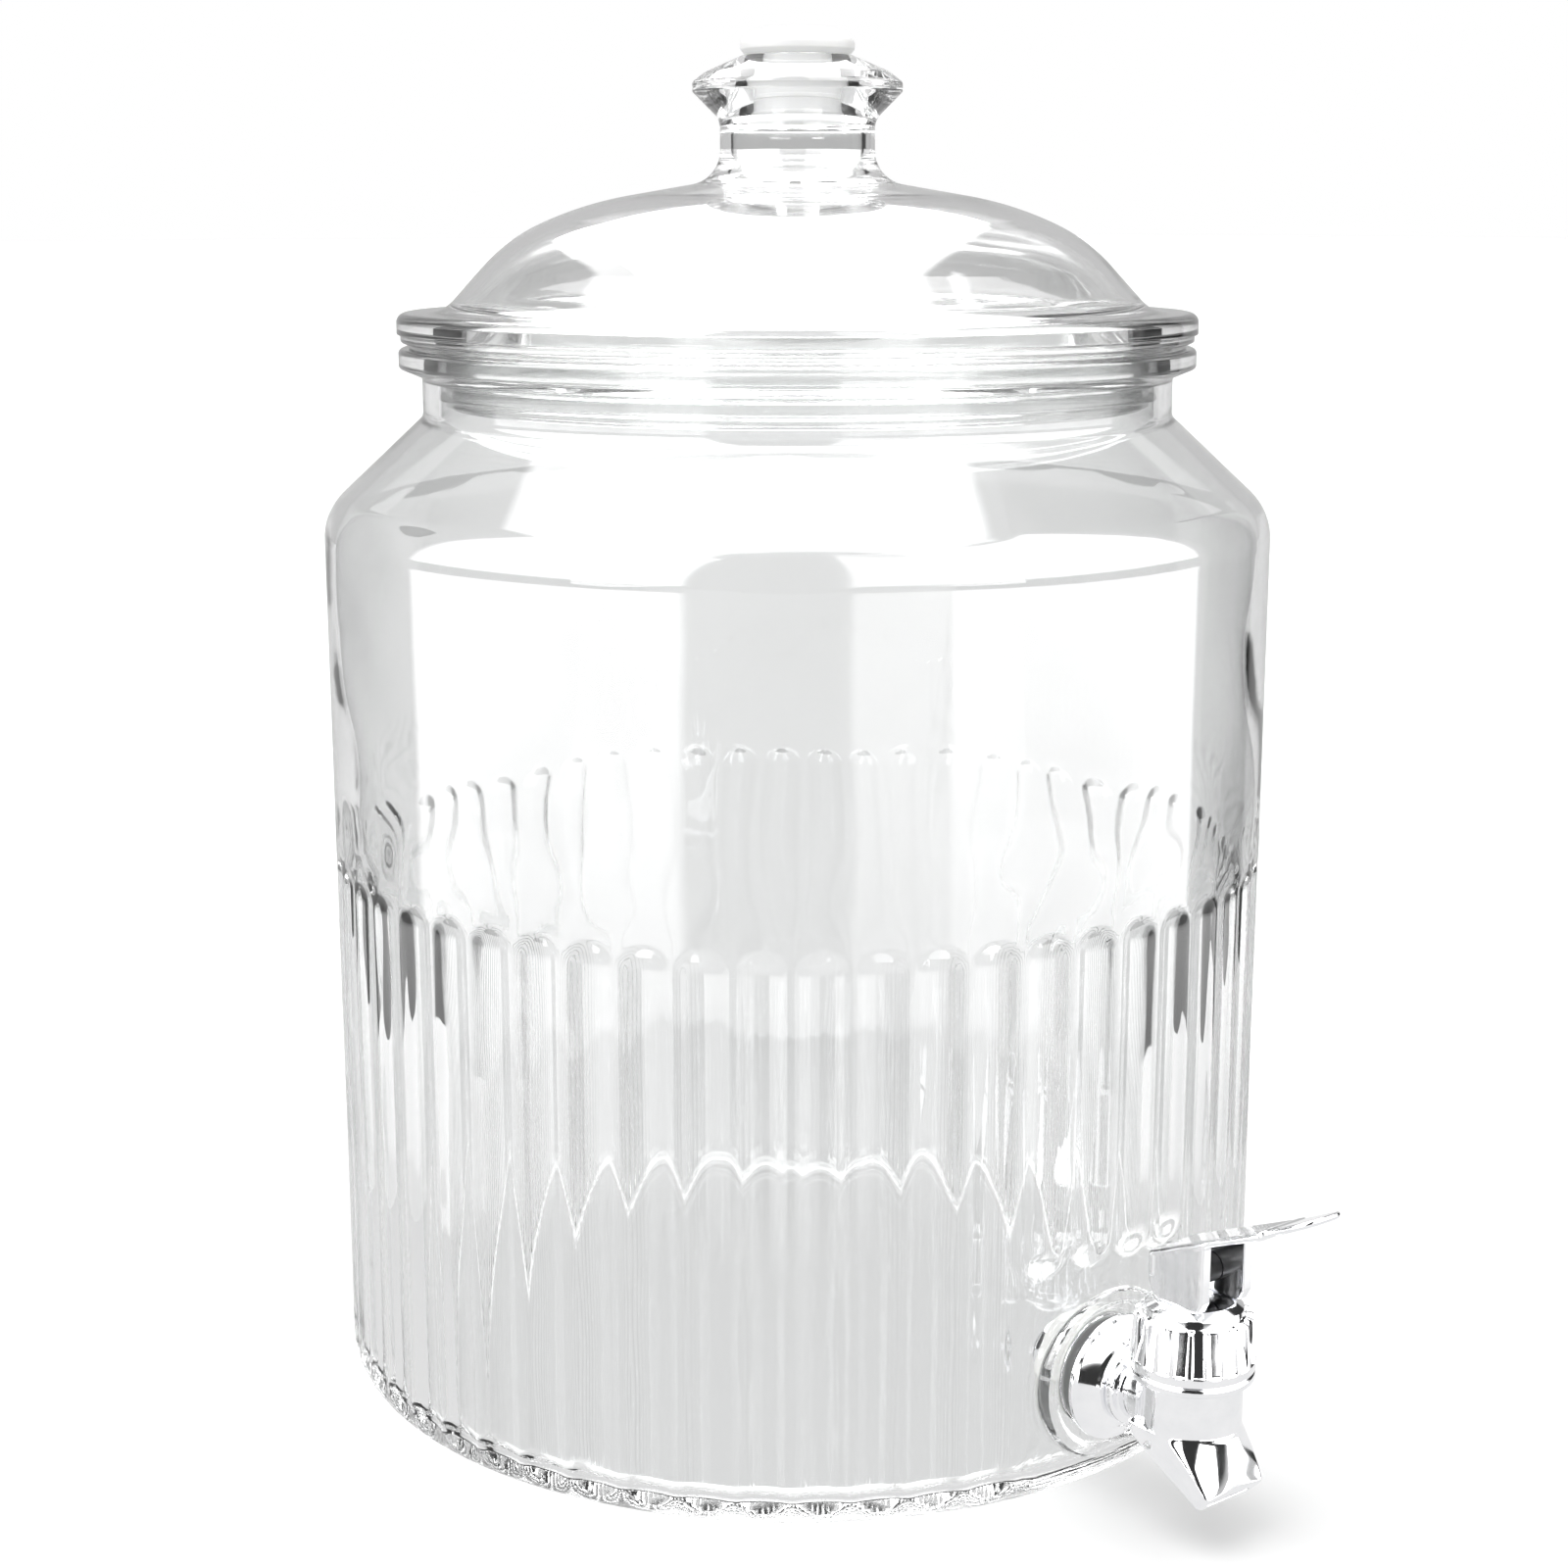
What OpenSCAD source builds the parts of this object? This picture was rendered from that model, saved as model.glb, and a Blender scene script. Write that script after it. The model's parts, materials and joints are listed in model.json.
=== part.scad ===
// Fluted clear-plastic drink dispenser: a straight-sided jar with a lift-off domed lid,
// a hollow knob closed by a stopper, and a chromed lever tap low on the wall.
// Millimetres, +Z up. The origin is the middle of the jar's flat base, and the tap faces -Y.

/* [Jar] */
// Outside diameter of the jar wall
jar_d = 239.2; // [236:0.4:246]
// Height of the jar from the table to the top of its rim
jar_h = 264.5; // [255:0.5:285]
// Thickness of the jar wall
jar_wall = 3.5; // [3:0.1:4]
// Thickness of the jar floor
jar_floor = 5; // [4:0.5:7]
// Radius of the rounded edge between the wall and the base
base_round = 8; // [5:0.5:12]
// Slope of the shoulder, from horizontal
shoulder_angle = 42.9; // [38:0.1:46]
// Radius of the rounded corner between the wall and the shoulder
shoulder_round = 15; // [8:0.5:18]
// Outside diameter of the neck
neck_d = 188.6; // [184:0.2:191]
// Outside diameter of the flange round the mouth
rim_d = 200; // [197:0.5:204]

/* [Flutes] */
// Number of flutes around the jar
flute_count = 56; // [48:4:60]
// Depth of a flute at its middle
flute_depth = 1.4; // [0.8:0.1:1.5]
// Share of the pitch that a flute takes, the rest being a flat land
flute_share = 0.82; // [0.7:0.01:0.88]
// Height of the rounded tops of the flutes
flute_top = 138.5; // [100:0.5:180]
// Height at which the flutes above the tap stop
pad_top = 57; // [55:0.5:70]

/* [Lid] */
// Outside diameter of the lid's flange
lid_d = 200.6; // [197:0.2:204]
// Thickness of the lid's dome and skirt
lid_wall = 3; // [2.5:0.1:3.4]
// Height of the knob's foot above the lid's flange
dome_rise = 32; // [28:0.5:40]
// Slope of the dome's edge, from horizontal
dome_edge_angle = 47.5; // [44:0.5:52]

/* [Knob and stopper] */
// Outside diameter of the knob's neck
knob_neck_d = 38.6; // [36:0.2:42]
// Outside diameter of the knob's head
knob_head_d = 52.2; // [48:0.2:58]
// Diameter of the hole in the top of the knob
knob_bore_d = 25.3; // [22:0.1:27]
// Diameter of the stopper's cap
stopper_cap_d = 28.4; // [27.4:0.2:32]

/* [Tap] */
// Distance from the jar wall to the middle of the tap's barrel
tap_reach = 26.7; // [25:0.1:30]
// Height of the tap's shank above the table
shank_z = 28.8; // [27.8:0.1:30]
// Diameter of the barrel
barrel_d = 23.4; // [23.2:0.1:24.4]
// Diameter of the bonnet over its ribs
bonnet_d = 28.8; // [28.6:0.1:30]
// Number of grip ribs on the bonnet
bonnet_ribs = 22; // [12:2:28]
// Diameter of the chromed flange against the wall
flange_d = 30.4; // [28:0.2:34]
// Width of the spout
spout_w = 19; // [17:0.5:21]

/* [Lever] */
// Full width of the lever's cam block
lever_w = 16; // [15:0.5:17]
// Lift of the stem for each radian of lever travel
cam_rate = 5.6; // [5:0.1:6]
// Travel of the lever from shut to open, in degrees
lever_travel = 25; // [15:1:28]
// Slope of the finger paddle, from horizontal
paddle_angle = 26; // [20:0.5:28]
// Distance from the pivot to the tip of the paddle, level
paddle_reach = 38.2; // [34:0.2:44]

/* [Hidden] */
$fn = 96;

clear_plastic = [0.86, 0.88, 0.88, 0.45];
chrome = [0.78, 0.79, 0.81];
steel = [0.62, 0.63, 0.65];
black = [0.12, 0.12, 0.12];
white_silicone = [0.97, 0.97, 0.96];
clear_silicone = [0.88, 0.89, 0.88, 0.7];

gap = 0.05;                 // play left between two pieces that meet
over = 1;                   // how far a cutter runs past the face that it cuts
arc_step = 9;               // degrees of turn for each facet of a rounded corner

// Jar
jar_r = jar_d / 2;
neck_r = neck_d / 2;
rim_r = rim_d / 2;
jar_in_r = jar_r - jar_wall;
neck_wall = jar_wall + 0.2;
mouth_r = neck_r - neck_wall;
rim_t = 4.6;
rim_slope = 2.4;
neck_h = 9.8;
neck_top_z = jar_h - rim_t - rim_slope;
neck_foot_z = neck_top_z - neck_h;
shoulder_z = neck_foot_z - (jar_r - neck_r) * tan(shoulder_angle);
shoulder_drop = jar_wall / cos(shoulder_angle);

// Flutes
pitch_angle = 360 / flute_count;
flute_half = PI * jar_d / flute_count * flute_share / 2;
flute_r = (flute_half * flute_half + flute_depth * flute_depth) / (2 * flute_depth);
flute_axis = jar_r - flute_depth + flute_r;
flute_cap = sqrt(flute_r * flute_r - pow(flute_r - flute_depth, 2));
short_flutes = 4;

// Lid
seal_t = 1.4;
lid_r = lid_d / 2;
lid_under_z = jar_h + seal_t + 2 * gap;
lip_h = 1.7;
lip_in = 0.9;
lid_top_z = lid_under_z + 7.2;
lid_skirt_r = mouth_r - 3.3;
lid_skirt_in = lid_skirt_r - lid_wall;
skirt_z = lid_under_z - 16;
crown_angle = 9.7;
knuckle_angle = 23.6;
knob_r = knob_neck_d / 2;
knob_foot_z = lid_top_z + dome_rise + 0.3;
edge_foot = [lid_r - 11.5, lid_top_z];
crown_at = [knob_r, knob_foot_z];
knuckle_at = [62.5, lid_top_z + dome_rise - 9.7];
edge_meet = meet(edge_foot, dome_edge_angle, knuckle_at, knuckle_angle);
crown_meet = meet(knuckle_at, knuckle_angle, crown_at, crown_angle);

// Knob
head_r = knob_head_d / 2;
bore_r = knob_bore_d / 2;
knob_top_z = knob_foot_z + 30.1;
bore_foot_z = knob_top_z - 17.6;

// Tap, in its own frame: the barrel's axis at the origin, forward along -Y
barrel_y = jar_r + tap_reach;
barrel_r = barrel_d / 2;
barrel_z = shank_z - 7.6;
chamber_r = 9.3;
seat_z = barrel_z + 3;
body_top_z = shank_z + 17.7;
collar_z = shank_z + 9.4;
collar_r = bonnet_d / 2 - 0.1;
thread_r = 11;
port_r = 3.9;
spout_toe = [11, shank_z - 18];         // lower corner of the spout's mouth: [forward, up]
spout_lip = [14.9, shank_z - 14.2];     // upper corner of the spout's mouth
spout_under_angle = 32.5;
passage_roof_angle = 54;
spout_round = 1.4;
brow_z = shank_z - 1.9;                 // where the spout leaves the barrel
spout_wall = 1.3;
shank_r = 8;
shank_bore_r = 4.4;
shank_hole_r = shank_r + 0.2;
boss_r = 20.8;
boss_face = tap_reach - 0.8;
inner_pad_r = 14;
inner_pad_face = tap_reach + jar_wall + 1.2;
washer_t = 1.2;
washer_r = 13.2;
flange_r = flange_d / 2;
flange_back = boss_face - washer_t - 2 * gap;
flange_t = 5.6;
hub_back = flange_back - flange_t - gap;
hub_t = 2.6;
hub_r = 9.2;
inner_washer_t = 1.6;
inner_washer_back = inner_pad_face + gap;
nut_back = inner_washer_back + inner_washer_t + gap;
nut_t = 7;
nut_across = 24;
nut_flange_r = 13.4;
nut_flange_t = 1.6;
shank_end = nut_back + nut_t + 6;
thread_pitch = 2;
thread_depth = 0.7;

// Bonnet
bonnet_z = collar_z + 2.4;
bonnet_r = bonnet_d / 2;
rib_h = 0.9;
rib_w = 1.15;
band_h = 2.4;
ring_top_z = bonnet_z + 12.9;
ring_taper = 0.8;           // how far the ribbed ring leans in towards its top
step_r = 11.3;              // step between the ribbed ring and the cone above it
step_z = ring_top_z + 1.8;
bonnet_top_z = bonnet_z + 16.3;
bonnet_flat_r = 9.4;
bonnet_bore_r = thread_r + 0.06;
stem_r = 3;
stem_hole_r = stem_r + 0.06;
rim_clamp_z = body_top_z + 1.3;
spring_top_z = bonnet_top_z - 3.2;

// Stem, spring and seat cup
pivot_h = 6;
pivot_z = bonnet_top_z + pivot_h + gap;
collar_seat_z = seat_z + 14;
collar_t = 1.5;
ring_r = 5.6;
bulb_r = 3.4;
bulb_z = seat_z + 4.6;
neck_groove_r = 2.1;
trunnion_r = 1.9;
spring_wire_r = 0.45;
spring_r = 4.6;
spring_turns = 6;
spring_foot_z = collar_seat_z + collar_t;

// Lever
cheek_t = 2.6;
cheek_back = 7;
cheek_front = 9.8;
toe_h = 3;                  // height of the cheeks' front corner above the bonnet
heel_round = 4.2;
cheek_gap_r = lever_w / 2 - cheek_t;
plate_t = 1.8;
plate_angle = 23.2;
plate_back_h = 3.2;
ledge_reach = 25.5;
paddle_t = 1.6;
paddle_w = 12.4;

function unit(v) = v / norm(v);
function turned(a) = a > 180 ? a - 360 : a < -180 ? a + 360 : a;
function arc(c, r, a0, a1) =
    let (n = max(2, ceil(abs(a1 - a0) / arc_step)))
    [for (i = [0:n]) let (a = a0 + (a1 - a0) * i / n) c + r * [cos(a), sin(a)]];
// The arc that rounds the corner b, between a and c, to radius r
function corner(a, b, c, r) =
    let (u = unit(a - b), w = unit(c - b), half = acos(u * w) / 2)
    let (mid = b + unit(u + w) * r / sin(half), reach = r / tan(half))
    let (p = b + u * reach - mid, q = b + w * reach - mid)
    let (a0 = atan2(p[1], p[0]))
    arc(mid, r, a0, a0 + turned(atan2(q[1], q[0]) - a0));
// A closed outline from corners [x, y, radius]; a radius of 0 leaves the corner sharp
function rounded(pts) =
    let (n = len(pts), xy = [for (p = pts) [p[0], p[1]]])
    [for (i = [0:n - 1])
        each pts[i][2] > 0
            ? corner(xy[(i + n - 1) % n], xy[i], xy[(i + 1) % n], pts[i][2])
            : [xy[i]]];
// Height, at radius r, of a line through p that rises inwards at angle a
function line_z(p, a, r) = p[1] + (p[0] - r) * tan(a);
// The point where two such lines cross
function meet(p, a, q, b) =
    let (r = (q[1] + q[0] * tan(b) - p[1] - p[0] * tan(a)) / (tan(b) - tan(a)))
    [r, line_z(p, a, r)];
// The point at distance x forward on a spout line through p, moved square to it by t
function spout_inset(p, a, x, t) = [x, line_z(p, a, x) + t / cos(a)];
// A line moved inwards by the lid's wall
function under(p, a) = [p[0], p[1] - lid_wall / cos(a)];

module turned_solid(pts) rotate_extrude() polygon(rounded(pts));
module in_tap() translate([0, -barrel_y, 0]) children();
// Puts a shape turned about Z onto the shank's axis, its Z running towards the jar
module on_shank() in_tap() translate([0, 0, shank_z]) rotate([-90, 0, 0]) children();

// A scoop whose ends run out as arches: its ends are cones, which leave the wall in a curve
module flute(angle, from_z, to_z, arched_foot)
    rotate(angle) translate([0, -flute_axis, 0]) rotate_extrude() {
        foot = arched_foot
            ? [[0, from_z - flute_cap], [flute_r - 2 * flute_depth, from_z - flute_cap]]
            : [[0, from_z]];
        polygon(concat(foot, [
            [flute_r, arched_foot ? from_z + flute_cap : from_z],
            [flute_r, to_z - flute_cap],
            [flute_r - 2 * flute_depth, to_z + flute_cap],
            [0, to_z + flute_cap]]));
    }

module jar() color(clear_plastic)
    difference() {
        union() {
            difference() {
                turned_solid([
                    [0, 0, 0],
                    [jar_r, 0, base_round],
                    [jar_r, shoulder_z, shoulder_round],
                    [neck_r, neck_foot_z, 3],
                    [neck_r, neck_top_z, 1.2],
                    [rim_r, neck_top_z + rim_slope, 0.8],
                    [rim_r, jar_h, 1.2],
                    [0, jar_h, 0]]);
                for (i = [0:flute_count - 1])
                    let (turns = i - flute_count / 2 + 0.5)
                        if (abs(turns) > short_flutes / 2)
                            flute(turns * pitch_angle, -over, flute_top, false);
                        else
                            flute(turns * pitch_angle, pad_top, flute_top, true);
            }
            on_shank() translate([0, 0, boss_face])
                cylinder(r1 = boss_r - 0.5, r2 = boss_r + 1, h = 3);
        }
        difference() {
            turned_solid([
                [0, jar_floor, 0],
                [jar_in_r, jar_floor, base_round - 2],
                [jar_in_r, shoulder_z - shoulder_drop + jar_wall * tan(shoulder_angle), 12],
                [mouth_r, neck_foot_z - shoulder_drop + neck_wall * tan(shoulder_angle), 5],
                [mouth_r, jar_h + over, 0],
                [0, jar_h + over, 0]]);
            on_shank() translate([0, 0, tap_reach])
                cylinder(r = inner_pad_r, h = inner_pad_face - tap_reach);
        }
        on_shank() translate([0, 0, boss_face - over])
            cylinder(r = shank_hole_r, h = inner_pad_face - boss_face + 2 * over);
    }

module lid() color(clear_plastic)
    difference() {
        turned_solid([
            [0, skirt_z, 0],
            [lid_skirt_r, skirt_z, 0.8],
            [lid_skirt_r, lid_under_z, 0],
            [lid_r - lip_in, lid_under_z, 0.6],
            [lid_r - lip_in, lid_under_z + lip_h, 0],
            [lid_r, lid_under_z + lip_h + 0.4, 0.3],
            [lid_r, lid_top_z, 2.4],
            [edge_foot[0], edge_foot[1], 9],
            [edge_meet[0], edge_meet[1], 45],
            [crown_meet[0], crown_meet[1], 90],
            [knob_r, knob_foot_z, 8.5],
            [knob_r, knob_foot_z + 14.4, 5],
            [head_r, knob_foot_z + 14.4 + head_r - knob_r, 0.6],
            [head_r, knob_top_z - 6.6, 0.9],
            [head_r - 3.2, knob_top_z - 4.2, 6],
            [bore_r + 0.6, knob_top_z, 0.8],
            [0, knob_top_z, 0]]);
        lid_cavity();
    }

module lid_cavity() {
    edge_in = under(edge_foot, dome_edge_angle);
    knuckle_in = under(knuckle_at, knuckle_angle);
    crown_in = under(crown_at, crown_angle);
    edge_at = meet(edge_in, dome_edge_angle, knuckle_in, knuckle_angle);
    crown_bend = meet(knuckle_in, knuckle_angle, crown_in, crown_angle);
    neck_in = knob_r - lid_wall - 0.2;
    turned_solid([
        [0, skirt_z - over, 0],
        [lid_skirt_in, skirt_z - over, 0],
        [lid_skirt_in, line_z(edge_in, dome_edge_angle, lid_skirt_in), 3],
        [edge_at[0], edge_at[1], 42],
        [crown_bend[0], crown_bend[1], 87],
        [neck_in, line_z(crown_in, crown_angle, neck_in), 6],
        [neck_in, bore_foot_z, 1.6],
        [bore_r, bore_foot_z, 0.8],
        [bore_r, knob_top_z + over, 0],
        [0, knob_top_z + over, 0]]);
}

module lid_seal() color(clear_silicone)
    rotate_extrude() {
        band_in = lid_skirt_r + gap;
        band_out = band_in + 1.3;
        flange_top = lid_under_z - gap;
        translate([band_in, skirt_z + 1]) square([1.3, flange_top - skirt_z - 1]);
        translate([band_in, jar_h + gap]) square([rim_r - 2.5 - band_in, seal_t]);
        for (z = [skirt_z + 2.2 : 3.6 : skirt_z + 10])
            polygon([[band_in + 0.4, z - 0.5], [mouth_r - gap, z + 0.8],
                     [mouth_r - gap, z + 1.2], [band_out, z + 1.1], [band_in + 0.4, z + 1.1]]);
    }

module knob_stopper() color(white_silicone)
    difference() {
        union() {
            turned_solid([
                [0, bore_foot_z + 0.4, 0],
                [bore_r - 0.9, bore_foot_z + 0.4, 1],
                [bore_r - 0.35, bore_foot_z + 4, 0.5],
                [bore_r - 0.35, knob_top_z + gap, 0],
                [bore_r + 0.6, knob_top_z + gap, 0],
                [stopper_cap_d / 2, knob_top_z + 1.2, 0.6],
                [stopper_cap_d / 2, knob_top_z + 3, 1.4],
                [stopper_cap_d / 2 - 4, knob_top_z + 6, 6],
                [0, knob_top_z + 6.6, 0]]);
            for (z = [bore_foot_z + 5.5, bore_foot_z + 10.5])
                translate([0, 0, z]) cylinder(r = bore_r - gap, h = 1.2);
        }
        translate([0, 0, bore_foot_z]) cylinder(r = bore_r - 3, h = 14);
    }

// A chute that runs from the barrel's round section to a straight mouth, with rounded edges
module spout_block() {
    toe_ball = spout_inset(spout_toe, spout_under_angle, spout_toe[0] - 0.6, spout_round);
    lip_ball = spout_lip + [-1.7, 0.7];
    slice_h = 1;
    hull() {
        translate([0, 0, brow_z - slice_h]) cylinder(r = barrel_r - gap, h = slice_h);
        for (p = [toe_ball, lip_ball], side = [-1, 1])
            translate([side * (spout_w / 2 - spout_round), -p[0], p[1]])
                sphere(r = spout_round, $fn = 28);
    }
}

module side_prism(pts, w)
    rotate([90, 0, -90]) linear_extrude(w, center = true) polygon(pts);

module tap_body() color(chrome) {
    difference() {
        union() {
            in_tap() {
                turned_solid([
                    [0, barrel_z, 0],
                    [barrel_r, barrel_z, 1.5],
                    [barrel_r, collar_z - 1.2, 1],
                    [collar_r, collar_z, 0.6],
                    [collar_r, bonnet_z - gap, 0.5],
                    [thread_r, bonnet_z - gap, 0],
                    [thread_r, body_top_z, 0.5],
                    [0, body_top_z, 0]]);
                spout_block();
            }
            on_shank() turned_solid([
                [0, 4, 0],
                [8.6, 4, 0],
                [7.2, hub_back - hub_t, 1.2],
                [hub_r, hub_back - hub_t, 0.7],
                [hub_r, hub_back, 0],
                [shank_r - thread_depth, hub_back, 0],
                [shank_r - thread_depth, shank_end, 0.6],
                [0, shank_end, 0]]);
            on_shank() shank_thread();
        }
        in_tap() {
            translate([0, 0, seat_z]) cylinder(r = chamber_r, h = body_top_z - seat_z + over);
            translate([0, 0, barrel_z + over]) cylinder(r = port_r, h = seat_z - barrel_z);
            outlet_passage();
        }
        on_shank() translate([0, 0, chamber_r - 3])
            cylinder(r = shank_bore_r, h = shank_end - chamber_r + 3 + over);
    }
}

// The drink's way from under the valve port, out through the mouth of the spout
module outlet_passage() {
    past_mouth = 4;
    roof_z = barrel_z + 1.3;
    toe_x = spout_toe[0] + past_mouth;
    lip_x = spout_lip[0] + 1;
    roof_rise = roof_z - spout_lip[1] + spout_wall / cos(passage_roof_angle);
    brow_x = spout_lip[0] - roof_rise / tan(passage_roof_angle);
    side_prism([
        [-port_r, barrel_z + 2],
        spout_inset(spout_toe, spout_under_angle, -port_r, spout_wall),
        spout_inset(spout_toe, spout_under_angle, toe_x, spout_wall),
        spout_inset(spout_lip, passage_roof_angle, lip_x, -spout_wall),
        [brow_x, roof_z],
        [port_r, roof_z],
        [port_r, barrel_z + 2]], spout_w - 4);
}

module shank_thread()
    for (z = [hub_back + 7 : thread_pitch : shank_end - thread_pitch])
        turned_solid([
            [shank_r - thread_depth - 0.5, z, 0],
            [shank_r - thread_depth, z, 0],
            [shank_r, z + 0.7, 0],
            [shank_r, z + 1, 0],
            [shank_r - thread_depth, z + 1.7, 0],
            [shank_r - thread_depth - 0.5, z + 1.7, 0]]);

module wall_flange() color(chrome)
    on_shank() difference() {
        turned_solid([
            [0, flange_back - flange_t, 0],
            [10.2, flange_back - flange_t, 0.6],
            [10.9, flange_back - flange_t + 1.1, 1],
            [flange_r - 1, flange_back - 1.7, 1],
            [flange_r, flange_back - 1.3, 0.4],
            [flange_r, flange_back, 0.4],
            [0, flange_back, 0]]);
        translate([0, 0, flange_back - flange_t - over])
            cylinder(r = shank_hole_r, h = flange_t + 2 * over);
    }

module washer(from, t, r) on_shank() translate([0, 0, from])
    difference() {
        cylinder(r = r, h = t);
        translate([0, 0, -over]) cylinder(r = shank_hole_r, h = t + 2 * over);
    }

module outer_washer() color(white_silicone) washer(flange_back + gap, washer_t, washer_r);

module inner_washer() color(white_silicone) washer(inner_washer_back, inner_washer_t, washer_r - 0.4);

module lock_nut() color(white_silicone)
    on_shank() translate([0, 0, nut_back]) difference() {
        union() {
            cylinder(r = nut_flange_r, h = nut_flange_t);
            cylinder(d = nut_across / cos(30), h = nut_t, $fn = 6);
        }
        translate([0, 0, -over]) cylinder(r = shank_r + gap, h = nut_t + 2 * over);
    }

module bonnet() color(chrome)
    in_tap() difference() {
        union() {
            turned_solid([
                [0, bonnet_z, 0],
                [bonnet_r - 0.1, bonnet_z, 0.5],
                [bonnet_r - 0.1, bonnet_z + band_h, 0.4],
                [bonnet_r - rib_h, bonnet_z + band_h, 0],
                [bonnet_r - rib_h - ring_taper, ring_top_z, 0.5],
                [step_r + 0.6, ring_top_z + 0.1, 0.4],
                [step_r, step_z, 0.3],
                [bonnet_flat_r, bonnet_top_z, 0.3],
                [0, bonnet_top_z, 0]]);
            for (i = [0:bonnet_ribs - 1])
                rotate(360 * i / bonnet_ribs) grip_rib();
        }
        translate([0, 0, bonnet_z - over]) cylinder(r = bonnet_bore_r, h = rim_clamp_z - bonnet_z + over);
        translate([0, 0, bonnet_z]) cylinder(r = chamber_r - 0.4, h = spring_top_z - bonnet_z);
        translate([0, 0, bonnet_z]) cylinder(r = stem_hole_r, h = bonnet_top_z - bonnet_z + over);
    }

module grip_rib() {
    root_r = bonnet_r - rib_h - over;
    rotate([90, 0, 0]) linear_extrude(rib_w, center = true) polygon([
        [root_r, bonnet_z + band_h - 0.5],
        [bonnet_r, bonnet_z + band_h - 0.5],
        [bonnet_r - ring_taper, ring_top_z - 0.5],
        [root_r - ring_taper, ring_top_z - 0.5]]);
}

// A bell whose rim is clamped under the bonnet and whose thick foot closes the port
module seat_cup() color(white_silicone)
    in_tap() difference() {
        foot_z = seat_z + gap;
        rim_z = body_top_z + gap;
        bell_r = chamber_r - 0.7;
        turned_solid([
            [0, foot_z, 0],
            [port_r + 1.5, foot_z, 0.6],
            [port_r + 2.1, seat_z + 8, 2],
            [bell_r, seat_z + 14, 2],
            [bell_r, rim_z, 0],
            [thread_r - 0.1, rim_z, 0.3],
            [thread_r - 0.1, rim_clamp_z - gap, 0.3],
            [0, rim_clamp_z - gap, 0]]);
        turned_solid([
            [0, bulb_z - 2.6, 0],
            [bulb_r + gap, bulb_z - 2.6, 1.2],
            [bulb_r + gap, bulb_z + 1, 0.8],
            [stem_r + gap, bulb_z + 2.4, 0],
            [stem_r + gap, seat_z + 9, 0],
            [bell_r - 1.3, seat_z + 14, 2],
            [bell_r - 1.3, rim_clamp_z + over, 0],
            [0, rim_clamp_z + over, 0]]);
    }

module stem() color(black)
    in_tap() {
        difference() {
            union() {
                turned_solid([
                    [0, bulb_z - 2.4, 0],
                    [bulb_r, bulb_z - 2.4, 1.2],
                    [bulb_r, bulb_z + 0.9, 0.8],
                    [neck_groove_r + 0.4, bulb_z + 2.4, 0],
                    [stem_r, bulb_z + 3.4, 0],
                    [stem_r, pivot_z, 0],
                    [0, pivot_z, 0]]);
                translate([0, 0, pivot_z]) rotate([0, 90, 0])
                    cylinder(r = 3.4, h = 2 * cheek_gap_r - 0.4, center = true);
                translate([0, 0, pivot_z]) rotate([0, 90, 0])
                    cylinder(r = trunnion_r, h = lever_w - 1.8, center = true);
            }
            translate([0, 0, collar_seat_z - gap]) difference() {
                cylinder(r = stem_r + over, h = collar_t + 2 * gap);
                translate([0, 0, -over]) cylinder(r = neck_groove_r, h = collar_t + 2 * gap + 2 * over);
            }
        }
    }

// A split ring clipped into the stem's groove, which the spring pushes down on
module spring_collar() color(black)
    in_tap() translate([0, 0, collar_seat_z]) difference() {
        cylinder(r = ring_r, h = collar_t - gap);
        translate([0, 0, -over]) cylinder(r = neck_groove_r + gap, h = collar_t + 2 * over);
        translate([-neck_groove_r + 0.4, 0, -over])
            cube([2 * neck_groove_r - 0.8, ring_r + over, collar_t + 2 * over]);
    }

module stem_spring() color(steel) {
    steps = 22;
    sides = 10;
    foot = spring_foot_z + spring_wire_r + gap;
    rise = spring_top_z - spring_wire_r - gap - foot;
    total = spring_turns * steps;
    pts = [for (i = [0:total], j = [0:sides - 1])
        let (a = 360 * i / steps, b = 360 * j / sides)
        let (r = spring_r + spring_wire_r * cos(b))
        [r * cos(a), r * sin(a), foot + rise * i / total + spring_wire_r * sin(b)]];
    walls = [for (i = [0:total - 1], j = [0:sides - 1])
        let (k = (j + 1) % sides)
        [i * sides + j, i * sides + k, (i + 1) * sides + k, (i + 1) * sides + j]];
    first = [for (j = [sides - 1:-1:0]) j];
    last = [for (j = [0:sides - 1]) total * sides + j];
    in_tap() polyhedron(pts, concat([first], walls, [last]), convexity = 10);
}

// Side outline of a cam cheek about the pivot: flat behind, then an involute whose
// contact with the bonnet stays cam_rate ahead of the pivot while the lever swings
function cam_outline() =
    let (deg_rad = PI / 180, steps = 10)
    concat(
        [[-cheek_back, plate_z(-cheek_back) + over]],
        arc([-cheek_back + heel_round, -pivot_h + heel_round], heel_round, 180, 270),
        [for (i = [0:steps])
            let (t = lever_travel * i / steps, h = pivot_h + cam_rate * t * deg_rad)
            [cam_rate * cos(t) + h * sin(t), cam_rate * sin(t) - h * cos(t)]],
        [[cheek_front, toe_h - pivot_h], [cheek_front, plate_z(cheek_front) + over]]);

module lever() color(chrome)
    in_tap() translate([0, 0, pivot_z]) difference() {
        union() {
            for (side = [-1, 1])
                translate([side * (lever_w - cheek_t) / 2, 0, 0]) side_prism(cam_outline(), cheek_t);
            translate([-lever_w / 2, cheek_back - 1.6, -pivot_h + 5.2])
                cube([lever_w, 1.6, plate_back_h + pivot_h - 4.4]);
            side_prism(plate_outline(), lever_w);
            paddle();
        }
        rotate([0, 90, 0]) cylinder(r = trunnion_r + gap, h = lever_w - 1.6, center = true);
    }

function plate_z(y) = plate_back_h + (y + cheek_back) * tan(plate_angle);

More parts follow.
